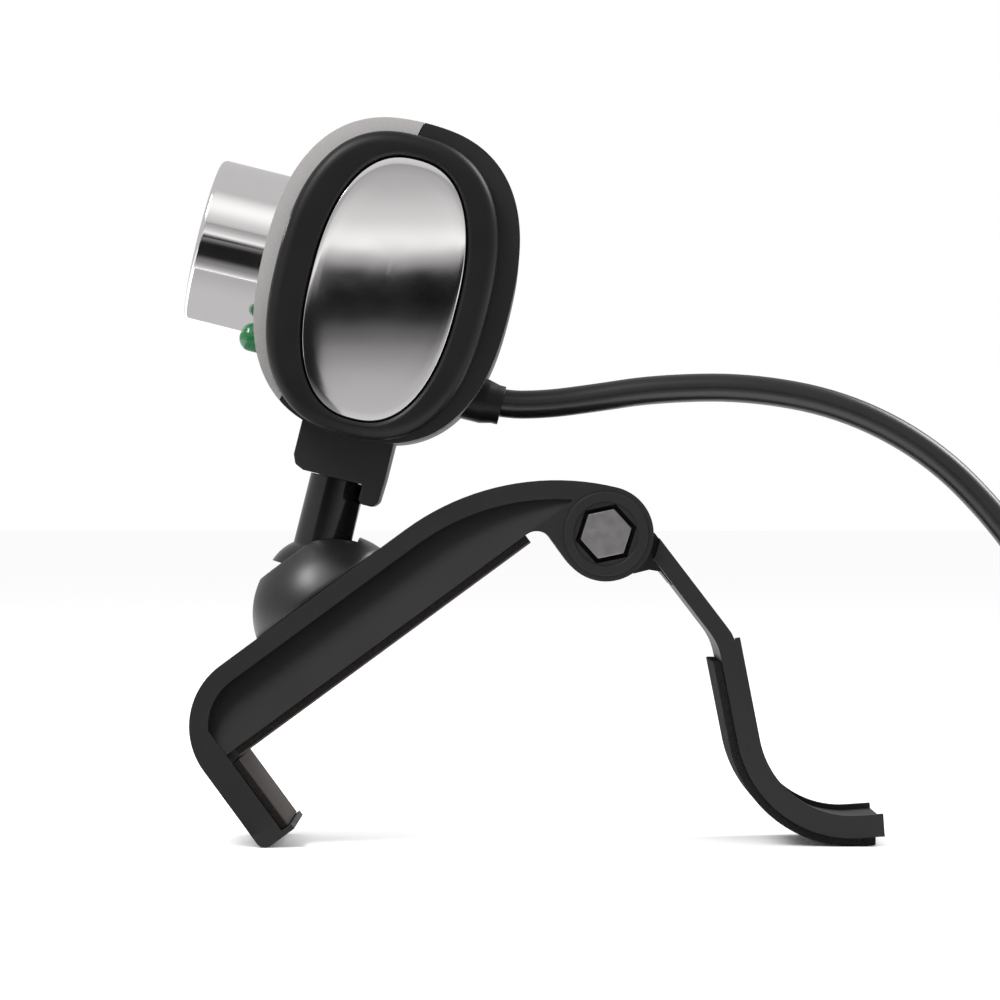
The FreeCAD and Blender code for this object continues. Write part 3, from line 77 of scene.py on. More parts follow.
def place_camera():
    """A long lens level with the middle of the clip, looking straight across it."""
    data = bpy.data.cameras.new("camera")
    data.sensor_width = 36.0
    data.lens = VIEW_LENS
    camera = bpy.data.objects.new("camera", data)
    camera.location = (VIEW_DISTANCE * MM, VIEW_BACK * MM, VIEW_HEIGHT * MM)
    camera.rotation_euler = (math.pi / 2, 0.0, math.pi / 2)
    bpy.context.scene.collection.objects.link(camera)
    bpy.context.scene.camera = camera


place_camera()

# ---------------------------------------------------------------- materials


def rgb(code):
    """An sRGB hex colour as linear RGBA."""
    parts = [int(code[k:k + 2], 16) / 255 for k in (1, 3, 5)]
    linear = [p / 12.92 if p <= 0.04045 else ((p + 0.055) / 1.055) ** 2.4 for p in parts]
    return (*linear, 1.0)


def add(tree, kind, inputs=None, **settings):
    """One node with its properties set, and each input given a value or a link."""
    node = tree.nodes.new(kind)
    for name, value in settings.items():
        setattr(node, name, value)
    for name, value in (inputs or {}).items():
        socket = node.inputs[name]
        if isinstance(value, bpy.types.NodeSocket):
            tree.links.new(value, socket)
        else:
            socket.default_value = value
    return node


def start_material(name, **values):
    """A material with one principled shader, whose constants are set on its own sockets."""
    material = bpy.data.materials.new(name)
    material.use_nodes = True
    tree = material.node_tree
    tree.nodes.clear()
    shader = add(tree, "ShaderNodeBsdfPrincipled")
    for socket, value in values.items():
        shader.inputs[socket.replace("_", " ")].default_value = value
    output = add(tree, "ShaderNodeOutputMaterial")
    tree.links.new(shader.outputs[0], output.inputs[0])
    return material, tree, shader


def noise_at(tree, size_mm, detail=2.0):
    """Noise whose blobs are about size_mm across on the object."""
    place = add(tree, "ShaderNodeTexCoord")
    return add(tree, "ShaderNodeTexNoise",
               {"Vector": place.outputs["Object"], "Scale": 1 / (size_mm * MM), "Detail": detail})


def spread(tree, value, low, high):
    """Map a 0 to 1 value to the range low to high."""
    return add(tree, "ShaderNodeMapRange",
               {"Value": value, "From Min": 0.25, "From Max": 0.75, "To Min": low, "To Max": high})


def moulded(name, dark, light, rough, grain_mm, depth_mm, **values):
    """Moulded plastic: a fine tool texture, a little unevenness in gloss and in colour."""
    material, tree, shader = start_material(name, **values)
    cloud = noise_at(tree, 9.0)
    tint = add(tree, "ShaderNodeMix",
               {"Factor": cloud.outputs["Fac"], "A": rgb(dark), "B": rgb(light)},
               data_type="RGBA")
    tree.links.new(tint.outputs["Result"], shader.inputs["Base Color"])
    gloss = spread(tree, cloud.outputs["Fac"], rough - 0.03, rough + 0.04)
    tree.links.new(gloss.outputs["Result"], shader.inputs["Roughness"])
    grain = noise_at(tree, grain_mm, 3.0)
    bump = add(tree, "ShaderNodeBump",
               {"Height": grain.outputs["Fac"], "Distance": depth_mm * MM, "Strength": 0.6})
    tree.links.new(bump.outputs["Normal"], shader.inputs["Normal"])
    return material


def spark_eroded_abs():
    """ABS from a spark-eroded mould: matte charcoal black with a fine even grain. The real
    grain is near 0.05 mm and is drawn at 0.22 mm so that it shows."""
    return moulded("spark_eroded_abs", "#121011", "#181617", 0.55, 0.22, 0.02,
                   IOR=1.53, Specular_IOR_Level=0.27)


def polished_abs():
    """ABS from a polished mould: deep black with sharp streaks of light."""
    return moulded("polished_abs", "#0e0d0e", "#131212", 0.16, 1.8, 0.008, IOR=1.53)


def eggshell_abs():
    """ABS from a blasted mould, on the turret dome: a broad soft highlight."""
    return moulded("eggshell_abs", "#0f0e0e", "#141313", 0.36, 0.16, 0.012, IOR=1.53)


def soft_touch_paint():
    """Soft-touch lacquer on the side frames: velvety black with almost no sparkle."""
    return moulded("soft_touch_paint", "#0c0b0c", "#121011", 0.42, 0.12, 0.006,
                   IOR=1.48, Specular_IOR_Level=0.24)


def vacuum_chrome():
    """Vacuum-metallised ABS: a mirror with a faint haze where it has been handled."""
    material, tree, shader = start_material("vacuum_chrome", Metallic=1.0)
    shader.inputs["Base Color"].default_value = rgb("#e9e6e6")
    haze = noise_at(tree, 6.0)
    gloss = spread(tree, haze.outputs["Fac"], 0.07, 0.11)
    tree.links.new(gloss.outputs["Result"], shader.inputs["Roughness"])
    return material


def satin_silver():
    """Silver lacquer over ABS, on the front plate: bright, soft, with fine metal flake."""
    material, tree, shader = start_material("satin_silver", Metallic=0.85, IOR=1.5)
    flake = noise_at(tree, 0.25, 1.0)
    tint = add(tree, "ShaderNodeMix",
               {"Factor": flake.outputs["Fac"], "A": rgb("#cfcccb"), "B": rgb("#e6e3e2")},
               data_type="RGBA")
    tree.links.new(tint.outputs["Result"], shader.inputs["Base Color"])
    shader.inputs["Roughness"].default_value = 0.3
    return material


def zinc_plate(name="zinc_plate", code="#848282", rough=0.36, clouds="#949291"):
    """Bright zinc plating on steel: soft grey with slight clouds."""
    material, tree, shader = start_material(name, Metallic=0.9)
    cloud = noise_at(tree, 1.6)
    tint = add(tree, "ShaderNodeMix",
               {"Factor": cloud.outputs["Fac"], "A": rgb(code), "B": rgb(clouds)},
               data_type="RGBA")
    tree.links.new(tint.outputs["Result"], shader.inputs["Base Color"])
    gloss = spread(tree, cloud.outputs["Fac"], rough - 0.05, rough + 0.06)
    tree.links.new(gloss.outputs["Result"], shader.inputs["Roughness"])
    return material


def cell_foam():
    """Closed-cell foam tape: dull black, with the cut cells seen as pits about 0.3 mm wide. The
    pits are painted darker and the walls between them lighter: painted shade and light that follow
    the pits' depth.
    """
    material, tree, shader = start_material("cell_foam", Roughness=0.95, Specular_IOR_Level=0.2)
    place = add(tree, "ShaderNodeTexCoord")
    cells = add(tree, "ShaderNodeTexVoronoi",
                {"Vector": place.outputs["Object"], "Scale": 1 / (0.3 * MM)})
    # painted shade: the foam's own black is painted darker at the bottom of each pit and lighter
    # on the cell walls, following the same depth as the bump below
    tint = add(tree, "ShaderNodeMix",
               {"Factor": cells.outputs["Distance"], "A": rgb("#0b0a0a"), "B": rgb("#1b1918")},
               data_type="RGBA")
    tree.links.new(tint.outputs["Result"], shader.inputs["Base Color"])
    bump = add(tree, "ShaderNodeBump",
               {"Height": cells.outputs["Distance"], "Distance": 0.12 * MM, "Strength": 0.9})
    tree.links.new(bump.outputs["Normal"], shader.inputs["Normal"])
    return material


def ribbed_rubber():
    """Brown-black grip rubber over the foam: dusty, with a slight bloom between its ribs."""
    material = moulded("ribbed_rubber", "#2b2421", "#453a35", 0.72, 0.35, 0.02,
                       Specular_IOR_Level=0.35)
    tree = material.node_tree
    place = add(tree, "ShaderNodeTexCoord")
    # a rib every 1.2 mm across the clip; the node repeats every 0.314 of its scaled length
    ribs = add(tree, "ShaderNodeTexWave",
               {"Vector": place.outputs["Object"], "Scale": 0.314 / (1.2 * MM)},
               bands_direction="X")
    grain = next(node for node in tree.nodes if node.type == "BUMP")
    shader = next(node for node in tree.nodes if node.type == "BSDF_PRINCIPLED")
    relief = add(tree, "ShaderNodeBump",
                 {"Height": ribs.outputs["Fac"], "Distance": 0.25 * MM, "Strength": 0.8,
                  "Normal": grain.outputs["Normal"]})
    tree.links.new(relief.outputs["Normal"], shader.inputs["Normal"])
    return material


def clear_green():
    """Tinted clear styrene of the lamp: dark green with a bright core where light gathers."""
    material, tree, shader = start_material(
        "clear_green", Roughness=0.12, IOR=1.55, Transmission_Weight=0.25)
    shader.inputs["Base Color"].default_value = rgb("#1d6238")
    return material


def coated_glass():
    """Optical glass with a violet anti-reflection coating."""
    material, tree, shader = start_material(
        "coated_glass", Roughness=0.02, IOR=1.52, Coat_Weight=0.6, Coat_Roughness=0.02)
    shader.inputs["Base Color"].default_value = rgb("#0c0a16")
    shader.inputs["Specular Tint"].default_value = rgb("#b79cff")
    return material


def circuit_laminate():
    """Green solder mask over glass-fibre laminate, with the weave faintly showing."""
    return moulded("circuit_laminate", "#11472a", "#195a36", 0.35, 0.5, 0.01, IOR=1.5)


def chip_epoxy():
    """Black filled epoxy of a chip: dull, fine and even."""
    return moulded("chip_epoxy", "#141414", "#1b1b1c", 0.6, 0.1, 0.006)


def natural_nylon():
    """Natural nylon of washers and small mouldings: milky and slightly waxy."""
    return moulded("natural_nylon", "#cfc8b8", "#ddd7c9", 0.45, 0.6, 0.01,
                   Subsurface_Weight=0.1, Subsurface_Radius=(0.001, 0.0008, 0.0006))


def white_nylon():
    """White glass-filled nylon of the header and the plug's tongue: dull and even."""
    return moulded("white_nylon", "#dddcd8", "#e8e7e3", 0.5, 0.3, 0.008)


def cable_jacket():
    """PVC cable jacket: black with a soft gloss and a faint drawn texture."""
    return moulded("cable_jacket", "#0d0c0d", "#141213", 0.3, 0.8, 0.015, IOR=1.52)


def nickel_shell():
    return zinc_plate("nickel_shell", "#b8b5af", 0.22, "#c9c6c0")


MATERIALS = {
    "satin_black_abs": spark_eroded_abs(),
    "gloss_black_abs": polished_abs(),
    "soft_black_rubber": soft_touch_paint(),
    "bright_chrome": vacuum_chrome(),
    "black_foam": cell_foam(),
    "rubber_facing": ribbed_rubber(),
    "zinc_steel": zinc_plate(),
    "nylon": natural_nylon(),
    "green_lens": clear_green(),
    "lens_glass": coated_glass(),
    "circuit_board": circuit_laminate(),
    "chip_black": chip_epoxy(),
    "tongue_white": white_nylon(),
    "cable_pvc": cable_jacket(),
    "plug_metal": nickel_shell(),
}
EGGSHELL = eggshell_abs()
SILVER = satin_silver()

# ---------------------------------------------------------------- making and placing pieces


def finished(name, shape, place, body, slot, nodes, material=None, smooth=32.0):
    """Turn a shape drawn in millimetres into a placed piece that stands for CAD nodes."""
    bmesh.ops.transform(shape, matrix=place, verts=shape.verts)
    mesh = bpy.data.meshes.new(name)
    shape.to_mesh(mesh)
    shape.free()
    mesh.materials.append(material or MATERIALS[slot])
    mesh.polygons.foreach_set("use_smooth", [True] * len(mesh.polygons))
    mesh.set_sharp_from_angle(angle=math.radians(smooth))
    piece = bpy.data.objects.new(name, mesh)
    bpy.context.scene.collection.objects.link(piece)
    even = piece.modifiers.new("even_normals", "WEIGHTED_NORMAL")
    even.keep_sharp = True
    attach(piece, body)
    if nodes:
        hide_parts(*nodes)
    return piece


# Edges whose faces meet more sharply than this many degrees are rounded on a moulding.
SHARP_EDGE = 28.0


def bevel_sharp(shape, width):
    """Round the sharp edges of a moulding to a width in millimetres."""
    limit = math.radians(SHARP_EDGE)
    edges = [edge for edge in shape.edges
             if len(edge.link_faces) == 2 and edge.calc_face_angle() > limit]
    bmesh.ops.bevel(shape, geom=edges, offset=width, offset_type="OFFSET", segments=2,
                    profile=0.5, affect="EDGES", clamp_overlap=True, material=-1)


def outward(shape):
    """Merge the points that coincide, then turn every face outwards."""
    bmesh.ops.remove_doubles(shape, verts=shape.verts, dist=1e-4)
    bmesh.ops.recalc_face_normals(shape, faces=shape.faces)


def moulding_of(node, width):
    """A merged copy of a CAD moulding, in millimetres, with its sharp edges rounded."""
    shape = bmesh.new()
    shape.from_mesh(frame["nodes"][node].data)
    bmesh.ops.scale(shape, vec=Vector((1, 1, 1)) / MM, verts=shape.verts)
    bmesh.ops.remove_doubles(shape, verts=shape.verts, dist=1e-3)
    bmesh.ops.dissolve_limit(shape, angle_limit=math.radians(1.0), verts=shape.verts,
                             edges=shape.edges, delimit={"NORMAL"})
    bevel_sharp(shape, width)
    return shape


def turned(profile, steps=96):
    """A closed (radius, height) profile turned about Z."""
    shape = bmesh.new()
    verts = [shape.verts.new((radius, 0.0, height)) for radius, height in profile]
    edges = [shape.edges.new(pair) for pair in zip(verts, verts[1:] + verts[:1])]
    bmesh.ops.spin(shape, geom=verts + edges, axis=(0, 0, 1), cent=(0, 0, 0),
                   dvec=(0, 0, 0), angle=math.tau, steps=steps, use_merge=True)
    outward(shape)
    loose = [v for v in shape.verts if not v.link_faces]
    bmesh.ops.delete(shape, geom=loose, context="VERTS")
    return shape


# ---------------------------------------------------------------- cable

CABLE_RADIUS = 2.25
# From the grommet to the lowest outer turn of the coil: across, back and up.
CABLE_ROUTE = [
    (0.0, -13.3, 70.1), (0.0, -5.2, 68.1), (0.0, 1.9, 68.1), (0.0, 9.6, 69.1),
    (0.0, 19.5, 70.6), (0.0, 34.0, 70.9), (0.0, 49.0, 68.0), (1.0, 62.5, 60.8),
    (3.2, 73.2, 49.6), (6.2, 81.4, 36.6), (9.6, 88.6, 23.6), (13.4, 96.5, 11.7),
    (16.8, 105.3, 4.9), (18.2, 113.3, 2.35), (17.9, 120.5, 2.3), (17.25, 126.0, 2.3)]
# Off the top outer turn and across the coil to the plug: across and back from the coil's
# middle, and up.
TAIL_ROUTE = [
    (22.4, 16.0, 15.75), (15.45, 23.1, 16.5), (5.2, 26.4, 18.4), (-5.5, 24.75, 20.6),
    (-14.2, 18.4, 21.8), (-19.1, 8.8, 22.05), (-19.1, -1.5, 22.05)]
COIL_MIDDLE = (-10.0, 126.0)
# Each turn's radius and height, in the order in which the cable is wound.
COIL_TURNS = [(27.25, 2.3), (22.75, 2.3), (22.75, 6.75), (27.25, 6.75),
              (27.25, 11.25), (22.75, 11.25), (22.75, 15.75), (27.25, 15.75)]
TURN_POINTS = 16
STEP_SHARE = 0.135


def coil_point(turn):
    """Radius and height after some turns.

    The step to the next turn is the last part of each turn. A turn is that much short of a
    whole one, so that the strands stay a diameter apart where they step.
    """
    whole, part = divmod(turn, 1 - STEP_SHARE)
    here = COIL_TURNS[min(int(whole), len(COIL_TURNS) - 1)]
    after = COIL_TURNS[min(int(whole) + 1, len(COIL_TURNS) - 1)]
    share = max(part - (1 - 2 * STEP_SHARE), 0.0) / STEP_SHARE
    share = (3 - 2 * share) * share**2
    return [a + (b - a) * share for a, b in zip(here, after)]


def make_cable():
    """One smooth line from the head, through the layers of the coil, to the plug."""
    points = list(CABLE_ROUTE[:-1])
    middle_x, middle_y = COIL_MIDDLE
    # the last turn ends where the tail lifts off it
    turns = (len(COIL_TURNS) - 1) * (1 - STEP_SHARE) + 0.02
    # a quadratic spline runs inside its control points by about this share
    inside = (1 + math.cos(math.pi / TURN_POINTS)) / 2
    for k in range(int(turns * TURN_POINTS) + 1):
        radius, height = coil_point(k / TURN_POINTS)
        angle = math.tau * k / TURN_POINTS
        points.append((middle_x + radius / inside * math.cos(angle),
                       middle_y + radius / inside * math.sin(angle), height))
    points += [(middle_x + x, middle_y + y, up) for x, y, up in TAIL_ROUTE]
    curve = bpy.data.curves.new("usb_cable", "CURVE")
    curve.dimensions = "3D"
    curve.bevel_depth = CABLE_RADIUS * MM
    curve.bevel_resolution = 5
    curve.resolution_u = 8
    curve.use_fill_caps = True
    spline = curve.splines.new("NURBS")
    spline.points.add(len(points) - 1)
    for spot, (x, y, z) in zip(spline.points, points):
        spot.co = (x * MM, y * MM, z * MM, 1.0)
    spline.order_u = 3
    spline.use_endpoint_u = True
    curve.materials.append(MATERIALS["cable_pvc"])
    cable = bpy.data.objects.new("usb_cable_run", curve)
    bpy.context.scene.collection.objects.link(cable)
    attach(cable, "head")
    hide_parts("usb_cable", "cable_coil", "cable_tail")
    return cable


cable = make_cable()

# ---------------------------------------------------------------- clip and leg


def make_clip():
    """The arm and the rear leg."""
    finished("clip_arm_moulding", moulding_of("clip_arm", 0.25), WORLD, "clip",
             "satin_black_abs", ["clip_arm"])
    finished("rear_leg_moulding", moulding_of("rear_leg", 0.2), WORLD, "leg",
             "satin_black_abs", ["rear_leg"])


make_clip()


def make_turret():
    """The dome on the arm, the stem in it, and the neck that the stem turns in."""
    finished("turret_dome_moulding", moulding_of("turret_dome", 0.15), WORLD, "turret",
             "satin_black_abs", ["turret_dome"], EGGSHELL)
    finished("stem_moulding", moulding_of("stem", 0.15), WORLD, "stem_body",
             "gloss_black_abs", ["stem"])
    finished("neck_moulding", moulding_of("neck_socket", 0.35), WORLD, "head",
             "satin_black_abs", ["neck_socket"])


make_turret()

# ---------------------------------------------------------------- head


def make_shells():
    """The silver front plate and the black rear shell of the head."""
    finished("front_plate_moulding", moulding_of("front_plate", 0.2), WORLD, "head",
             "bright_chrome", ["front_plate"], SILVER)
    finished("rear_shell_moulding", moulding_of("rear_shell", 0.2), WORLD, "head",
             "satin_black_abs", ["rear_shell"])


make_shells()

# Half length, half height, roundness, and how far the middle is back and up.
FRAME_OVAL = (16.5, 23.45, 2.5, 0.0, -0.25)
DISC_OVAL = (11.3, 20.4, 2.4, 0.5, -0.75)
DISC_LONG, DISC_TALL = DISC_OVAL[:2]
LEAN = math.radians(14.0)
FRAME_NEAR = 14.22
FRAME_FAR = 18.5
FRAME_ROUND = 1.9
SEAT_ROUND = 0.75
SEAT_GAP = 0.15
SEAT_FLOOR = 15.6
SEAT_LEDGE = 3.0
DISC_BACK = 16.6
DISC_CREST = 18.85
DISC_FALL = 1.45
DISC_SIDE_FALL = 0.3
DISC_RIM = 0.4
# The crowned face is ringed at these shares of its size.
DISC_RINGS = (0.93, 0.85, 0.7, 0.55, 0.4, 0.25, 0.12, 0.04)


def oval_loop(shape, outline, inset, across, steps=112):
    """A ring of points of a rounded oval, drawn in by an inset, at a distance across."""
    long_half, tall_half, power, middle_long, middle_tall = outline
    points = []
    for k in range(steps):
        angle = math.tau * k / steps
        c, s = math.cos(angle), math.sin(angle)
        along = math.copysign(abs(c) ** (2 / power), c) * (long_half - inset)
        up = math.copysign(abs(s) ** (2 / power), s) * (tall_half - inset)
        level = across(along, up) if callable(across) else across
        points.append(shape.verts.new((level, middle_long + along, middle_tall + up)))
    return points


def skin(shape, loops):
    """Faces between each ring and the next."""
    for near, far in zip(loops, loops[1:]):
        for k in range(len(near)):
            after = (k + 1) % len(near)
            shape.faces.new((near[k], near[after], far[after], far[k]))


def crowned(along, up):
    """How far out the bright disc stands: crowned from its top to its foot as it leans."""
    level = up * math.cos(LEAN) - along * math.sin(LEAN)
    side = up * math.sin(LEAN) + along * math.cos(LEAN)
    return (DISC_CREST - DISC_FALL * (level / DISC_TALL) ** 2
            - DISC_SIDE_FALL * (side / DISC_LONG) ** 2)


def mirrored(shape, sign):
    """Turn a piece drawn for the right side over to the left if asked, faces outwards."""
    if sign < 0:
        bmesh.ops.scale(shape, vec=(-1, 1, 1), verts=shape.verts)
    outward(shape)


def quarter(steps, last):
    """Angles from 0 towards a right angle, in steps, up to a last one."""
    return [math.pi / 2 * k / steps for k in range(last + 1)]


def side_frame():
    """A ring with a rounded outer edge and a rounded way down to the disc's seat."""
    ring = bmesh.new()
    loops = [oval_loop(ring, FRAME_OVAL, 0.0, FRAME_NEAR)]
    for turn in quarter(6, 6):
        loops.append(oval_loop(ring, FRAME_OVAL, FRAME_ROUND * (1 - math.cos(turn)),
                               FRAME_FAR - FRAME_ROUND + FRAME_ROUND * math.sin(turn)))
    for turn in quarter(5, 5):
        loops.append(oval_loop(ring, DISC_OVAL, -SEAT_GAP - SEAT_ROUND * (1 - math.sin(turn)),
                               FRAME_FAR - SEAT_ROUND * (1 - math.cos(turn))))
    loops.append(oval_loop(ring, DISC_OVAL, -SEAT_GAP, SEAT_FLOOR))
    loops.append(oval_loop(ring, DISC_OVAL, SEAT_LEDGE, SEAT_FLOOR))
    skin(ring, loops + loops[:1])
    return ring


def side_disc():
    """The bright oval: a rounded rim and a crowned face."""
    disc = bmesh.new()
    loops = [oval_loop(disc, DISC_OVAL, 0.0, DISC_BACK)]
    for turn in quarter(4, 3):
        drop = DISC_RIM * (1 - math.sin(turn))
        loops.append(oval_loop(disc, DISC_OVAL, DISC_RIM * (1 - math.cos(turn)),
                               lambda along, up: crowned(along, up) - drop))
    for share in DISC_RINGS:
        smaller = (DISC_LONG * share, DISC_TALL * share, *DISC_OVAL[2:])
        loops.append(oval_loop(disc, smaller, 0.0, crowned))
    skin(disc, loops)
    disc.faces.new(loops[0])
    disc.faces.new(loops[-1])
    return disc


def make_sides():
    """On each side, a soft frame rounded over to its seat, and the crowned disc in it."""
    for name, sign in (("right", 1), ("left", -1)):
        ring = side_frame()
        mirrored(ring, sign)
        finished(f"side_frame_{name}_soft", ring, HEAD, "head", "soft_black_rubber",
                 [f"side_frame_{name}"], smooth=60.0)
        disc = side_disc()
        mirrored(disc, sign)
        finished(f"side_disc_{name}_chrome", disc, HEAD, "head", "bright_chrome",
                 [f"side_disc_{name}"], smooth=80.0)


make_sides()

# The lens looks forwards, so its turned pieces stand on this frame, Z towards the front.
LENS_FRAME = HEAD @ Matrix.Translation((0, 0, 0.7)) @ Matrix.Rotation(math.pi / 2, 4, "X")


def arc(middle_r, middle_h, radius, start, end, steps=5):
    """Points of a rounded corner in a turned profile, between two angles in degrees."""
    angles = [math.radians(start + (end - start) * k / steps) for k in range(steps + 1)]
    return [(middle_r + radius * math.cos(a), middle_h + radius * math.sin(a)) for a in angles]


def make_lens():
    """Chrome barrel, the focus ring, the cell and the domed front glass."""
    barrel = turned([(11.25, 13.6), (12.85, 13.6)] + arc(12.05, 28.6, 0.8, 0, 90)
                    + arc(10.1, 29.15, 0.25, 90, 180, 3) + [(9.85, 28.2), (11.25, 28.2)], 128)
    finished("lens_barrel_chrome", barrel, LENS_FRAME, "head", "bright_chrome", ["lens_barrel"],
             smooth=40.0)
    ring = turned([(7.2, 18.6), (11.15, 18.6)] + arc(10.75, 27.7, 0.4, 0, 90, 3)
                  + [(8.5, 28.1), (7.7, 26.6), (7.2, 26.5)], 96)
    finished("focus_ring_turned", ring, LENS_FRAME, "focus", "satin_black_abs", ["focus_ring"])
    cell = turned([(3.6, 8.0), (7.1, 8.0)] + arc(6.8, 23.9, 0.3, 0, 90, 3)
                  + [(5.6, 24.2), (5.3, 23.9), (5.3, 22.4), (3.6, 21.6)], 96)
    finished("lens_cell_turned", cell, LENS_FRAME, "focus", "satin_black_abs", ["lens_cell"],
             MATERIALS["gloss_black_abs"])
    glass_radius, crest, flatness = 5.2, 24.2, 0.19
    dome = [(glass_radius * math.sin(a), crest - glass_radius * flatness * (1 - math.cos(a)))
            for a in quarter(8, 8)]
    glass = turned([(0.0, 22.5), (5.2, 22.5)] + dome[::-1], 64)
    finished("front_glass_dome", glass, LENS_FRAME, "focus", "lens_glass", ["front_glass"],
             smooth=60.0)


make_lens()


def make_lamp():
    """A clear green lamp with a round end, seated in the front plate."""
    frame_lamp = (HEAD @ Matrix.Translation((9.5, 0, -12.5))
                  @ Matrix.Rotation(math.pi / 2, 4, "X"))
    tip, radius, flange, flange_wall = 19.7, 2.2, 2.8, 0.6
    low = tip - radius * 3.4
    dome = [(radius * math.cos(a), tip - radius * 0.85 * (1 - math.sin(a)))
            for a in quarter(9, 9)]
    lamp = turned([(0.0, low), (flange, low), (flange, low + flange_wall),
                   (radius, low + flange_wall)] + dome, 64)
    finished("status_lamp", lamp, frame_lamp, "head", "green_lens", ["status_led"], smooth=50.0)


make_lamp()

# ---------------------------------------------------------------- pads and bolt


def make_pads():
    """Foam pads with softly cut edges, and the grip rubber on them."""
    for node, body, slot_name, width in (
            ("arm_pad", "clip", "black_foam", 0.12), ("hook_pad", "clip", "black_foam", 0.12),
            ("leg_pad", "leg", "black_foam", 0.2),
            ("arm_pad_facing", "clip", "rubber_facing", 0.1),
            ("hook_pad_facing", "clip", "rubber_facing", 0.1)):
        pad = finished(f"{node}_soft", moulding_of(node, width), WORLD, body, slot_name, [node])


make_pads()


def make_small_parts():
    """Pieces whose edges are only softened, by node: bolt, nut, grommet, cover and plug."""
    pieces = {}
    for node, body, slot_name, width in (
            ("hinge_bolt", "clip", "zinc_steel", 0.18), ("hinge_nut", "clip", "zinc_steel", 0.18),
            ("cable_grommet", "head", "soft_black_rubber", 0.15),
            ("arm_cover", "clip", "satin_black_abs", 0.12),
            ("plug_grip", "head", "cable_pvc", 0.35)):
        pieces[node] = finished(f"{node}_edged", moulding_of(node, width), WORLD, body,
                                slot_name, [node])
    return pieces


small_parts = make_small_parts()


def make_cheek_rings():
    """The low round boss about the bolt head, and its twin about the nut."""
    for name, sign in (("right", 1), ("left", -1)):
        ring = turned([(4.95, 12.8), (6.5, 12.8), (6.5, 13.15)] + arc(6.3, 13.15, 0.2, 0, 90, 3)
                      + [(5.05, 13.35), (4.95, 13.25)], 96)
        turn = Matrix.Rotation(sign * math.pi / 2, 4, "Y")
        finished(f"cheek_ring_{name}", ring, HINGE_FRAME @ turn, "clip", "satin_black_abs", [])


make_cheek_rings()

# ---------------------------------------------------------------- finishes on the CAD pieces kept


def dress_kept_nodes():
    """Give every CAD piece that stays visible the finish of its material slot."""
    for piece in frame["nodes"].values():
        for place in piece.material_slots:
            place.material = MATERIALS[place.material.name.split(".")[0]]


dress_kept_nodes()

# ---------------------------------------------------------------- stage


def card(name, corner_low, corner_high, stops, along):
    """A glowing card that only glossy surfaces see, shaded along one direction.

    The stops are pairs of a place along it in millimetres and a grey level, from low to high.
    """
    shape = bmesh.new()
    (x0, y0, z0), (x1, y1, z1) = corner_low, corner_high
    corners = [(x0, y0, z0), (x0, y1, z0), (x1, y1, z1), (x1, y0, z1)]
    shape.faces.new([shape.verts.new(corner) for corner in corners])
    bmesh.ops.scale(shape, vec=(MM, MM, MM), verts=shape.verts)
    mesh = bpy.data.meshes.new(name)
    shape.to_mesh(mesh)
    shape.free()
    material = bpy.data.materials.new(name + "_paper")
    material.use_nodes = True
    tree = material.node_tree
    tree.nodes.clear()
    place = add(tree, "ShaderNodeTexCoord")
    split = add(tree, "ShaderNodeSeparateXYZ", {"Vector": place.outputs["Object"]})
    low, high = stops[0][0], stops[-1][0]
    level = add(tree, "ShaderNodeMapRange",
                {"Value": split.outputs[along], "From Min": low * MM, "From Max": high * MM})
    ramp = add(tree, "ShaderNodeValToRGB", {"Fac": level.outputs["Result"]})
    ramp.color_ramp.interpolation = "EASE"
    while len(ramp.color_ramp.elements) < len(stops):
        ramp.color_ramp.elements.new(0.5)
    for element, (place_along, grey) in zip(ramp.color_ramp.elements, stops):
        element.position = (place_along - low) / (high - low)
        element.color = (grey, grey, grey, 1.0)
    glow = add(tree, "ShaderNodeEmission", {"Color": ramp.outputs["Color"], "Strength": 1.0})
    output = add(tree, "ShaderNodeOutputMaterial")
    tree.links.new(glow.outputs[0], output.inputs[0])
    mesh.materials.append(material)
    piece = bpy.data.objects.new(name, mesh)
    bpy.context.scene.collection.objects.link(piece)
    piece.visible_camera = False
    piece.visible_diffuse = False
    piece.visible_shadow = False
    piece.visible_transmission = False


def soft_light(name, spot, aim, size, power):
    """A square soft box at a spot in mm, turned to its aim."""
    data = bpy.data.lights.new(name, "AREA")
    data.size = size * MM
    data.energy = power
    lamp = bpy.data.objects.new(name, data)
    here, there = Vector(spot) * MM, Vector(aim) * MM
    lamp.location = here
    lamp.rotation_euler = (there - here).to_track_quat("-Z", "Y").to_euler()
    bpy.context.scene.collection.objects.link(lamp)
    lamp.visible_camera = False


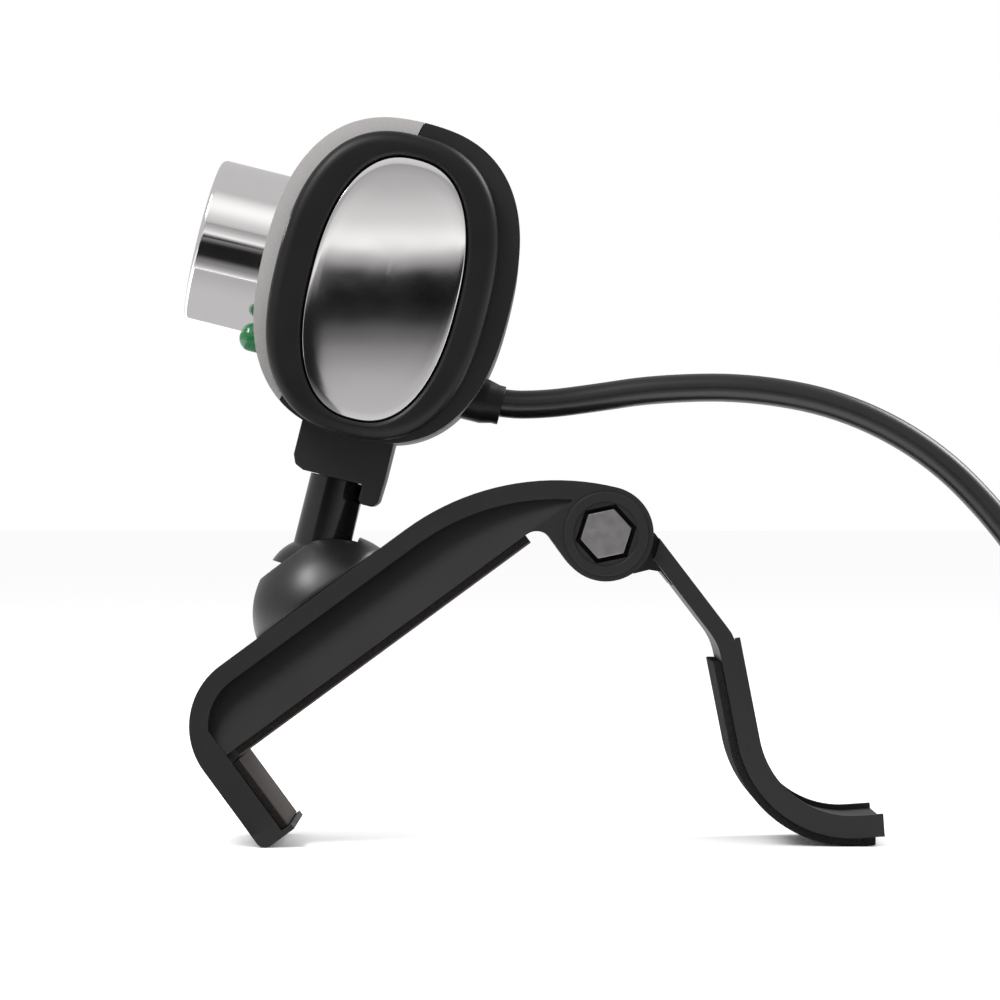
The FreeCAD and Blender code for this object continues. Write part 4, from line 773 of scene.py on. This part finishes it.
def make_surround():
    """A white surround, which glossy surfaces see as light grey."""
    world = bpy.data.worlds.new("studio")
    bpy.context.scene.world = world
    world.use_nodes = True
    tree = world.node_tree
    tree.nodes.clear()
    path = add(tree, "ShaderNodeLightPath")
    level = add(tree, "ShaderNodeMapRange",
                {"Value": path.outputs["Is Glossy Ray"], "To Min": 1.0, "To Max": 0.62})
    sky = add(tree, "ShaderNodeBackground",
              {"Color": rgb("#ffffff"), "Strength": level.outputs["Result"]})
    output = add(tree, "ShaderNodeOutputWorld")
    tree.links.new(sky.outputs[0], output.inputs[0])
    bpy.context.scene.view_settings.view_transform = "Standard"


def make_floor():
    """A plain pale floor."""
    mesh = bpy.data.meshes.new("floor")
    shape = bmesh.new()
    bmesh.ops.create_grid(shape, x_segments=1, y_segments=1, size=6.0)
    shape.to_mesh(mesh)
    shape.free()
    floor = bpy.data.objects.new("floor", mesh)
    bpy.context.scene.collection.objects.link(floor)
    material, _, shader = start_material("floor_paper", Roughness=0.9)
    shader.inputs["Base Color"].default_value = rgb("#ffffff")
    mesh.materials.append(material)


def make_stage():
    """A pale floor, a bright surround, two soft boxes, and cards for the bright metal."""
    make_surround()
    make_floor()
    card("far_card", (760, -420, 0), (760, 420, 420),
         [(0, 0.3), (35, 0.14), (70, 0.02), (110, 0.006), (155, 0.012), (185, 0.45),
          (215, 1.15), (270, 0.75), (340, 0.5), (420, 0.35)], "Z")
    card("near_floor_card", (112, -420, 2), (759, 420, 2),
         [(112, 0.75), (300, 0.55), (759, 0.3)], "X")
    card("barrel_flag", (110, -130, 12), (110, -45, 98),
         [(12, 0.5), (34, 0.25), (54, 0.012), (84, 0.012), (98, 0.25)], "Z")
    card("barrel_glow", (165, -130, 170), (60, 40, 300), [(170, 0.7), (225, 1.2), (300, 0.6)],
         "Z")
    card("barrel_floor", (-160, -130, 2), (109, -42, 2), [(-160, 0.6), (20, 0.62), (109, 0.5)],
         "X")
    soft_light("key_box", (260, -320, 520), (0, 0, 60), 260, 3.5)
    soft_light("back_box", (-200, 380, 420), (0, 0, 60), 260, 2.0)


make_stage()
